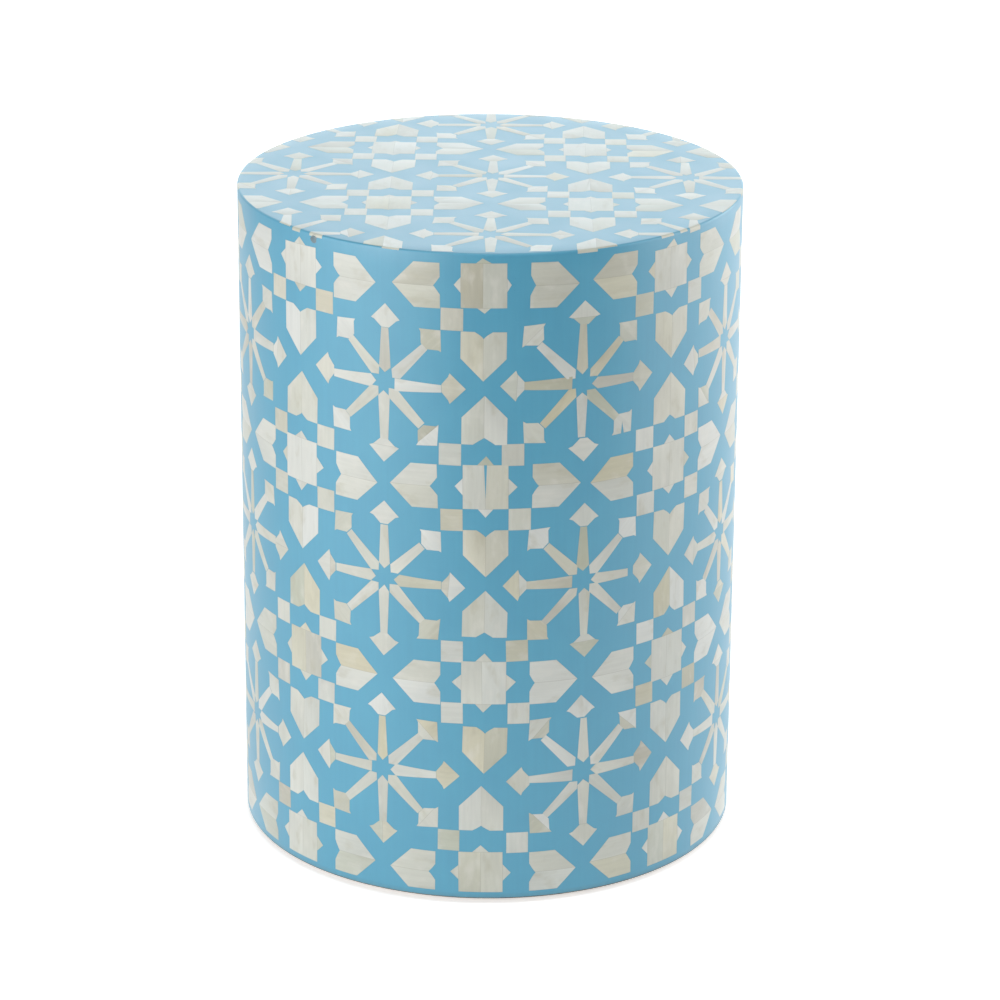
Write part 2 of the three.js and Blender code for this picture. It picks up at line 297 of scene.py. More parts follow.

# %% [markdown]
# ## White paper sweep
# The floor is matt photo paper, rolled out under the stool. To the eye it is plain white, and only
# the stool's soft shadow shows on it. It glows a little where the camera sees it, less so round
# the stool, so that it stays white and the shadow stays too. In the lacquer it also glows, as a
# painted reflection: most brightly close before the stool, and not at all more than a metre in
# front, though the paper goes on there. That painted reflection gives the side its paler foot and
# its deeper blue under the rim.
# From below the paper is clear, so that a view from there shows the stool's underside.

# %% White paper
paper, tree, output = new_material("white_paper_sweep")
rays = add_node(tree, "ShaderNodeLightPath")
seen = add_node(
    tree,
    "ShaderNodeMath",
    {"operation": "MAXIMUM"},
    {0: rays.outputs["Is Camera Ray"], 1: rays.outputs["Is Transmission Ray"]},
)
place = add_node(tree, "ShaderNodeTexCoord")
from_stool = add_node(
    tree,
    "ShaderNodeVectorMath",
    {"operation": "LENGTH"},
    {0: place.outputs["Object"]},
)
glow_level = add_node(
    tree,
    "ShaderNodeMapRange",
    {"From Min": 0.8, "From Max": 3.2, "To Min": 0.6, "To Max": 1.0},
    {"Value": from_stool.outputs["Value"]},
)
seen_glow = add_node(
    tree,
    "ShaderNodeMath",
    {"operation": "MULTIPLY"},
    {0: seen.outputs[0], 1: glow_level.outputs[0]},
)
depth = add_node(tree, "ShaderNodeSeparateXYZ", {}, {0: place.outputs["Object"]})
# Painted reflection: for glossy rays the paper glows most brightly just before the stool, half as much
# under and behind it, and not at all more than about a metre in front, though the paper goes on.
in_front = add_node(
    tree,
    "ShaderNodeMapRange",
    {"From Min": -1.3, "From Max": 0.7, "To Min": 0.0, "To Max": 1.0},
    {"Value": depth.outputs["Y"]},
)
painted_reflection_level = add_node(tree, "ShaderNodeValToRGB", {}, {"Fac": in_front.outputs[0]})
ramp = painted_reflection_level.color_ramp
ramp.elements[0].position = 0.05
ramp.elements[0].color = (0.0, 0.0, 0.0, 1.0)
ramp.elements[1].position = 0.7
ramp.elements[1].color = (0.5, 0.5, 0.5, 1.0)
ramp.elements.new(0.48).color = (1.2, 1.2, 1.2, 1.0)
strength = add_node(
    tree,
    "ShaderNodeMath",
    {"operation": "MULTIPLY_ADD"},
    {0: rays.outputs["Is Glossy Ray"], 1: painted_reflection_level.outputs[0], 2: seen_glow.outputs[0]},
)
fibres = add_node(tree, "ShaderNodeTexNoise", {"Scale": 90.0, "Detail": 2.0})
tint = add_node(
    tree,
    "ShaderNodeMix",
    {"data_type": "RGBA", 6: linear("#EFEFEF"), 7: linear("#F3F3F3")},
    {0: fibres.outputs[0]},
)
matt = add_node(tree, "ShaderNodeBsdfDiffuse", {}, {"Color": tint.outputs[2]})
glow = add_node(
    tree,
    "ShaderNodeEmission",
    {"Color": linear("#FFFFFF")},
    {"Strength": strength.outputs[0]},
)
both = add_node(tree, "ShaderNodeAddShader", {}, {0: matt.outputs[0], 1: glow.outputs[0]})
clear = add_node(tree, "ShaderNodeBsdfTransparent")
face = add_node(tree, "ShaderNodeNewGeometry")
paper_shader = add_node(
    tree,
    "ShaderNodeMixShader",
    {},
    {0: face.outputs["Backfacing"], 1: both.outputs[0], 2: clear.outputs[0]},
)
tree.links.new(paper_shader.outputs[0], output.inputs["Surface"])
floor_mesh.materials.append(paper)
scene.view_settings.view_transform = "Standard"
print("paper:", len(tree.nodes), "nodes")

# %% [markdown]
# ## Resin: filled polyester, sanded flush and lacquered
# The ground is polyester resin, tinted light blue and filled with chalk. It was poured round the
# tiles, sanded level with them and given a coat of satin lacquer. To the eye it is an even blue,
# a little cloudy where the filler settled, with faint upright strokes from the sanding, and drawn
# greyer and darker in a narrow band along the foot. The surface isn't quite true: it waves by a
# tenth of a millimetre over a few centimetres, which shows only in the way the lacquer shines.

# %% Lacquer over resin and bone
lacquer_ior = 1.5
lacquer_roughness = 0.42
wave_width = 40.0
wave_height = 0.10


def add_waves(tree, normal=None):
    """The slight unevenness of the sanded, lacquered surface, the same over resin and bone."""
    place = add_node(tree, "ShaderNodeTexCoord")
    wide = add_node(
        tree,
        "ShaderNodeTexNoise",
        {"Scale": 1 / (wave_width * mm), "Detail": 2.0, "Roughness": 0.4},
        {"Vector": place.outputs["Object"]},
    )
    settings = {"Strength": 1.0, "Distance": wave_height * mm}
    feeds = {"Height": wide.outputs[0]}
    if normal:
        feeds["Normal"] = normal
    return add_node(tree, "ShaderNodeBump", settings, feeds)


print("lacquer: IOR", lacquer_ior, "roughness", lacquer_roughness)

# %% Resin: clouds and sanding strokes
resin, tree, output = new_material("tinted_polyester_resin")
place = add_node(tree, "ShaderNodeTexCoord")
cloud_width = 28.0
clouds = add_node(
    tree,
    "ShaderNodeTexNoise",
    {"Scale": 1 / (cloud_width * mm), "Detail": 4.0, "Roughness": 0.55},
    {"Vector": place.outputs["Object"]},
)
ground = add_node(
    tree,
    "ShaderNodeMix",
    {"data_type": "RGBA", 6: linear("#428FAD"), 7: linear("#4E99B3")},
    {0: clouds.outputs[0]},
)
# Real sanding strokes are a few tenths of a millimetre wide. They are drawn coarser, to show.
stroke_width = 2.6
stroke_length = 90.0
across, along = 1 / (stroke_width * mm), 1 / (stroke_length * mm)
stretched = add_node(
    tree,
    "ShaderNodeVectorMath",
    {"operation": "MULTIPLY", 1: (across, across, along)},
    {0: place.outputs["Object"]},
)
strokes = add_node(
    tree,
    "ShaderNodeTexNoise",
    {"Scale": 1.0, "Detail": 2.0},
    {"Vector": stretched.outputs[0]},
)
stroke_tone = add_node(
    tree,
    "ShaderNodeMapRange",
    {"From Min": 0.3, "From Max": 0.7, "To Min": 0.985, "To Max": 1.015},
    {"Value": strokes.outputs[0]},
)
ground = add_node(
    tree,
    "ShaderNodeVectorMath",
    {"operation": "SCALE"},
    {0: ground.outputs[2], "Scale": stroke_tone.outputs[0]},
)

# %% Resin: dark specks, and a greyer, darker band along the foot
speck_spacing = 5.0
specks = add_node(
    tree,
    "ShaderNodeTexVoronoi",
    {"Scale": 1 / (speck_spacing * mm)},
    {"Vector": place.outputs["Object"]},
)
speck = add_node(
    tree,
    "ShaderNodeMapRange",
    {"From Min": 0.03, "From Max": 0.07, "To Min": 0.35, "To Max": 0.0},
    {"Value": specks.outputs["Distance"]},
)
ground = add_node(
    tree,
    "ShaderNodeMix",
    {"data_type": "RGBA", 7: linear("#2F7391")},
    {0: speck.outputs[0], 6: ground.outputs[0]},
)
height = add_node(tree, "ShaderNodeSeparateXYZ", {}, {0: place.outputs["Object"]})
# Within a few millimetres of the foot the blue is mixed towards a dark grey-green, so the ground grows
# darker and greyer towards the bottom.
foot_band_reach = 4.5
foot_band_darkening = add_node(
    tree,
    "ShaderNodeMapRange",
    {
        "From Min": drum_foot,
        "From Max": drum_foot + foot_band_reach * mm,
        "To Min": 0.42,
        "To Max": 0.0,
    },
    {"Value": height.outputs[2]},
)
ground = add_node(
    tree,
    "ShaderNodeMix",
    {"data_type": "RGBA", 7: linear("#4A6468")},
    {0: foot_band_darkening.outputs[0], 6: ground.outputs[2]},
)

# %% Resin: sheen and the finished shader
sheen_patches = add_node(
    tree,
    "ShaderNodeMapRange",
    {
        "From Min": 0.3,
        "From Max": 0.7,
        "To Min": lacquer_roughness - 0.04,
        "To Max": lacquer_roughness + 0.05,
    },
    {"Value": clouds.outputs[0]},
)
waves = add_waves(tree)
shader = add_node(
    tree,
    "ShaderNodeBsdfPrincipled",
    {"IOR": lacquer_ior, "Coat Weight": 0.5, "Coat Roughness": 0.32, "Coat IOR": lacquer_ior},
    {
        "Base Color": ground.outputs[2],
        "Roughness": sheen_patches.outputs[0],
        "Normal": waves.outputs[0],
        "Coat Normal": waves.outputs[0],
    },
)
tree.links.new(shader.outputs[0], output.inputs["Surface"])
print("resin:", len(tree.nodes), "nodes")

# %% [markdown]
# ## Bone: sawn, bleached and polished
# The tiles are buffalo or camel bone, sawn into plates about 2 mm thick, bleached, glued down and
# sanded with the resin. Each plate comes from another place in the bone, so each has its own
# tone, from ivory to a greyish or straw colour, with soft streaks along the bone and a few darker
# ones where the marrow was near. The edge of a tile is a fine dark line, where dirt and glue stay
# in the joint, and the sawn edge that shows at the rim is more yellow than the face.
# Each tile carries numbers for the material to read: "grain" is the place along its own grain,
# "look" its tone and how straw-coloured or olive it is, and "wear" says where its edge is, where
# it is the sawn edge at the rim, and how the tone drifts across it.

# %% Bone: what each tile says about itself
bone, tree, output = new_material("polished_bone")
grain = add_node(tree, "ShaderNodeAttribute", {"attribute_name": "grain"})
look = add_node(tree, "ShaderNodeAttribute", {"attribute_name": "look"})
wear = add_node(tree, "ShaderNodeAttribute", {"attribute_name": "wear"})
look = add_node(tree, "ShaderNodeSeparateXYZ", {}, {0: look.outputs["Vector"]})
wear = add_node(tree, "ShaderNodeSeparateXYZ", {}, {0: wear.outputs["Vector"]})
tone, straw, olive = look.outputs[0], look.outputs[1], look.outputs[2]
edge, sawn, shade = wear.outputs[0], wear.outputs[1], wear.outputs[2]

# %% Bone: the tile's own colour
tones = add_node(tree, "ShaderNodeValToRGB", {}, {"Fac": tone})
from_dull_to_ivory = (
    (0.0, "#958F7D"),
    (0.25, "#AEABA0"),
    (0.5, "#BDBEB7"),
    (0.8, "#C6C7C1"),
    (1.0, "#CDCEC9"),
)
set_stops(tones, *from_dull_to_ivory)
strawed = add_node(
    tree,
    "ShaderNodeMix",
    {"data_type": "RGBA", 7: linear("#C3BB9E")},
    {0: straw, 6: tones.outputs[0]},
)
greened = add_node(
    tree,
    "ShaderNodeMix",
    {"data_type": "RGBA", 7: linear("#A9AC98")},
    {0: olive, 6: strawed.outputs[2]},
)

# %% Bone: streaks along the grain
streak_width = 2.4
streak_length = 30.0
along = add_node(
    tree,
    "ShaderNodeVectorMath",
    {"operation": "MULTIPLY", 1: (1 / streak_length, 1 / streak_width, 1.0)},
    {0: grain.outputs["Vector"]},
)
streaks = add_node(
    tree,
    "ShaderNodeTexNoise",
    {"Scale": 1.0, "Detail": 3.0, "Roughness": 0.55},
    {"Vector": along.outputs[0]},
)
streak_tone = add_node(
    tree,
    "ShaderNodeMapRange",
    {"From Min": 0.3, "From Max": 0.7, "To Min": 0.955, "To Max": 1.035},
    {"Value": streaks.outputs[0]},
)
lit = add_node(tree, "ShaderNodeMath", {"operation": "ADD"}, {0: streak_tone.outputs[0], 1: shade})
streaked = add_node(
    tree,
    "ShaderNodeVectorMath",
    {"operation": "SCALE"},
    {0: greened.outputs[2], "Scale": lit.outputs[0]},
)

# %% Bone: soft patches, marrow and pores
patch_size = 9.0
patch_squeeze = 0.55
patchwork = add_node(
    tree,
    "ShaderNodeVectorMath",
    {"operation": "MULTIPLY", 1: (patch_squeeze / patch_size, 1 / patch_size, 1.0)},
    {0: grain.outputs["Vector"]},
)
patches = add_node(
    tree,
    "ShaderNodeTexNoise",
    {"Scale": 1.0, "Detail": 3.0, "Roughness": 0.5},
    {"Vector": patchwork.outputs[0]},
)
pale = add_node(
    tree,
    "ShaderNodeMapRange",
    {"From Min": 0.45, "From Max": 0.25, "To Min": 0.0, "To Max": 0.45},
    {"Value": patches.outputs[0]},
)
paled = add_node(
    tree,
    "ShaderNodeMix",
    {"data_type": "RGBA", 7: linear("#D2CFC6")},
    {0: pale.outputs[0], 6: streaked.outputs[0]},
)
marrow = add_node(
    tree,
    "ShaderNodeMapRange",
    {"From Min": 0.56, "From Max": 0.8, "To Min": 0.0, "To Max": 0.5},
    {"Value": patches.outputs[0]},
)
marrowed = add_node(
    tree,
    "ShaderNodeMix",
    {"data_type": "RGBA", 7: linear("#A29C84")},
    {0: marrow.outputs[0], 6: paled.outputs[2]},
)
# Real pores are about a tenth of a millimetre wide. They are drawn coarser, to show.
pore_width = 0.5
pore_length = 4.0
pore_place = add_node(
    tree,
    "ShaderNodeVectorMath",
    {"operation": "MULTIPLY", 1: (1 / pore_length, 1 / pore_width, 1.0)},
    {0: grain.outputs["Vector"]},
)
pore_spots = add_node(
    tree,
    "ShaderNodeTexNoise",
    {"Scale": 1.0, "Detail": 1.0},
    {"Vector": pore_place.outputs[0]},
)
pore = add_node(
    tree,
    "ShaderNodeMapRange",
    {"From Min": 0.78, "From Max": 0.9, "To Min": 0.0, "To Max": 0.15},
    {"Value": pore_spots.outputs[0]},
)
pored = add_node(
    tree,
    "ShaderNodeMix",
    {"data_type": "RGBA", 7: linear("#7E7459")},
    {0: pore.outputs[0], 6: marrowed.outputs[2]},
)

# %% Bone: edges, polish and the finished shader
dirt = add_node(tree, "ShaderNodeMath", {"operation": "MULTIPLY", 1: 0.55}, {0: edge})
edged = add_node(
    tree,
    "ShaderNodeMix",
    {"data_type": "RGBA", 7: linear("#6B6554")},
    {0: dirt.outputs[0], 6: pored.outputs[2]},
)
cut_share = add_node(tree, "ShaderNodeMath", {"operation": "MULTIPLY", 1: 0.5}, {0: sawn})
cut = add_node(
    tree,
    "ShaderNodeMix",
    {"data_type": "RGBA", 7: linear("#BDB9A2")},
    {0: cut_share.outputs[0], 6: edged.outputs[2]},
)
polish = add_node(
    tree,
    "ShaderNodeMapRange",
    {
        "From Min": 0.3,
        "From Max": 0.7,
        "To Min": lacquer_roughness - 0.06,
        "To Max": lacquer_roughness + 0.04,
    },
    {"Value": streaks.outputs[0]},
)
pores = add_node(
    tree,
    "ShaderNodeBump",
    {"Strength": 0.6, "Distance": 0.02 * mm},
    {"Height": streaks.outputs[0]},
)
waves = add_waves(tree, pores.outputs[0])
shader = add_node(
    tree,
    "ShaderNodeBsdfPrincipled",
    {"IOR": lacquer_ior, "Coat Weight": 0.5, "Coat Roughness": 0.32, "Coat IOR": lacquer_ior},
    {
        "Base Color": cut.outputs[2],
        "Roughness": polish.outputs[0],
        "Normal": waves.outputs[0],
        "Coat Normal": waves.outputs[0],
    },
)
tree.links.new(shader.outputs[0], output.inputs["Surface"])
print("bone:", len(tree.nodes), "nodes")

# %% [markdown]
# ## The tiles' outlines
# A tile is first drawn flat, in millimetres, with its motif's middle at the origin. A star is a
# square of two half plates and four small points. A heart is two half plates, and its notch is
# cut by eye, so its lobes are a little round. A wheel has eight arms, each with an arrowhead,
# and many heads are two plates. Nothing is quite regular: the draws below are seeded for each
# motif, so that each run lays the same stool, and changing one motif leaves the others alone.

# %% The hand that saws, and small steps with flat points
hand = random.Random(7)
weld = 1e-6
# How far a cut strays from the drawn line, in millimetres.
rough_cut = 0.5
fair_cut = 0.3
close_cut = 0.2


def turned(point, angle):
    """A flat point, turned anticlockwise about the origin."""
    x, y = point
    return (
        x * math.cos(angle) - y * math.sin(angle),
        x * math.sin(angle) + y * math.cos(angle),
    )


def cut_beyond(outline, point, beyond):
    """What is left of an outline when all that lies beyond a line is cut off."""
    depths = [(x - point[0]) * beyond[0] + (y - point[1]) * beyond[1] for x, y in outline]
    kept = []
    for i, here in enumerate(outline):
        j = (i + 1) % len(outline)
        after = outline[j]
        if depths[i] <= weld:
            kept.append(here)
        if min(depths[i], depths[j]) < -weld and max(depths[i], depths[j]) > weld:
            share = depths[i] / (depths[i] - depths[j])
            kept.append((here[0] + share * (after[0] - here[0]), here[1] + share * (after[1] - here[1])))
    return kept


def halves(outline, point, across):
    """The two plates that a seam makes of an outline."""
    back = (-across[0], -across[1])
    return [cut_beyond(outline, point, across), cut_beyond(outline, point, back)]


print("a cut strays by", (rough_cut, fair_cut, close_cut), "mm")

# %% Star and small square
side_names = ("right", "upper", "left", "lower")
point_wear = 0.5
star_reach = math.sqrt(2) * unit - point_wear
star_notch = star_reach - unit
seam_lean = 0.012
seam_closed_share = -0.54
square_gap = 0.1


def star_plates(seam_gap=0.0, short=(0, 0, 0, 0), sunk=(0, 0), lean=0.0):
    """The plates of a star: two halves of the square, then the right, upper, left and lower point.

    The seam can gape towards its upper end, where resin has filled it. The points can be short, the
    upper left and right corners sunk, and the upper point can lean to the right.
    """
    square = [(-unit, -unit), (unit, -unit), (unit, unit - sunk[1]), (-unit, unit - sunk[0])]
    plates = halves(square, (hand.gauss(0, rough_cut), 0), (1, seam_lean * hand.gauss(0, 1)))
    if seam_gap:
        closed = (0, seam_closed_share * unit)
        plates = [
            [(-unit, -unit), (0, -unit), closed, (-seam_gap / 2, unit), (-unit, unit)],
            [(0, -unit), (unit, -unit), (unit, unit), (seam_gap / 2, unit), closed],
        ]
    for side in range(len(side_names)):
        reach = star_reach + hand.gauss(0, rough_cut) - short[side]
        notch = star_notch + hand.gauss(0, fair_cut) - short[side] / 2
        point = [(unit, -notch), (reach, hand.gauss(0, fair_cut)), (unit, notch)]
        if side_names[side] == "upper":
            middle, tilt = (sunk[0] + sunk[1]) / 2, (sunk[1] - sunk[0]) / 2 / unit
            point = [(x - middle + tilt * y, y - lean * (x > unit)) for x, y in point]
        plates.append([turned(p, side * math.pi / 2) for p in point])
    return plates


def small_square():
    """A small square that sits beyond the star's upper right corner."""
    low, high = unit + square_gap, 2 * unit - square_gap
    return [(low, low), (high, low), (high, high), (low, high)]


print(f"a star's points reach {star_reach:.1f} mm")

# %% Heart
heart_tip = half_pitch - 0.3 * unit
heart_seam_stray = 0.15
notch_depth = 4.4
notch_half = 6.4
notch_stray = 0.6
lobe_bulge = 0.7
bulge_stray = 0.4
lobe_shares = (0.35, 0.7)
lobe_lean_share = 0.3


def heart_plates():
    """A heart to the right of the star, as its lower and its upper plate."""
    back = 2 * unit
    depth = notch_depth + hand.gauss(0, rough_cut)
    half = notch_half + hand.gauss(0, notch_stray)
    tip = heart_tip + hand.gauss(0, rough_cut)
    bulge = lobe_bulge + hand.gauss(0, bulge_stray)
    side = tip - unit
    lobe = [(back, half)]
    for share in lobe_shares:
        round_out = bulge * 4 * share * (1 - share)
        lean = round_out * lobe_lean_share
        lobe.append((back + depth * share + lean, half * (1 - share) - round_out))
    lower_lobe = [(x, -y) for x, y in reversed(lobe)]
    outline = [(back, -unit), (side, -unit), (tip, 0), (side, unit), (back, unit)]
    outline += [*lobe, (back + depth, 0), *lower_lobe]
    return halves(outline, (back, hand.gauss(0, heart_seam_stray)), (0, 1))


print(f"a heart's tip is {heart_tip:.1f} mm from the star's middle")

# %% Arm
hub_radius = 6.0
hub_stray = 0.4
blunt_ends = (1.2, 1.5)
shoulder_reach = 9.9
shoulder_half = 4.15
neck_reach = 37.4
neck_half = 2.7


def arm_plate(blunt, missing=0.0):
    """One arm of a wheel, to the right of the hub: pointed or blunt at the hub, widest close to it.

    An arm with some length missing ends that much short of its head.
    """
    tip = hub_radius + hand.gauss(0, hub_stray)
    half = shoulder_half + hand.gauss(0, close_cut)
    thin = neck_half + hand.gauss(0, close_cut)
    end = neck_reach + hand.gauss(0, fair_cut) - missing
    if blunt:
        lower, upper = blunt_ends
        return [(tip + lower, -half), (end, -thin), (end, thin), (tip + upper, half)]
    return [
        (tip, hand.gauss(0, fair_cut)),
        (shoulder_reach, -half),
        (end, -thin),
        (end, thin),
        (shoulder_reach, half),
    ]


print(f"an arm is {neck_reach - hub_radius:.1f} mm long")

# %% Arrowhead
# A head that meets a square, and one that doesn't: how far its barbs lie behind the tip, half
# its width at the collar, and how far the collar lies behind the barbs.
head_sizes = {True: (10.1, 8.6, 0.6), False: (10.9, 8.0, 1.0)}
head_reach = math.sqrt(2) * (half_pitch - 2 * unit)
head_half = 10.9
tip_wear = 0.3
seam_from_collar = 0.2
head_seam_lean = 0.06
split_across_share = 0.35
split_share = 0.45


def head_plates(meets_square, is_split=None, slot=None):
    """An arrowhead on that arm. One that meets a square is nearly a square itself.

    It can be split across into two plates, and a slot can be broken into its outer right side.
    The slot is given as its share of that side, its width and the point where it ends.
    """
    barb_back, collar_half, collar_step = head_sizes[meets_square]
    barb_back += hand.gauss(0, fair_cut)
    barb_half = head_half + hand.gauss(0, fair_cut)
    collar = head_reach - barb_back - collar_step
    outline = [
        (neck_reach, -neck_half),
        (collar, -collar_half),
        (head_reach - barb_back, -barb_half),
        (head_reach - tip_wear, 0),
        (head_reach - barb_back, barb_half),
        (collar, collar_half),
        (neck_reach, neck_half),
    ]
    if slot:
        share, width, apex = slot
        (x0, y0), (x1, y1) = outline[2:4]
        long = math.hypot(x1 - x0, y1 - y0)
        mouth = [share - width / 2 / long, share + width / 2 / long]
        mouth = [(x0 + (x1 - x0) * m, y0 + (y1 - y0) * m) for m in mouth]
        outline[3:3] = [mouth[0], apex, mouth[1]]
    kind = hand.random()
    if is_split is not None:
        kind = 0.0 if is_split else 1.0
    if kind < split_across_share:
        seam = (collar + seam_from_collar, 0)
        return halves(outline, seam, (1, head_seam_lean * hand.gauss(0, 1)))
    if kind < split_share:
        return halves(outline, (0, hand.gauss(0, rough_cut)), (0, 1))
    return [outline]


print(f"a wheel's heads reach {head_reach:.1f} mm from its middle")
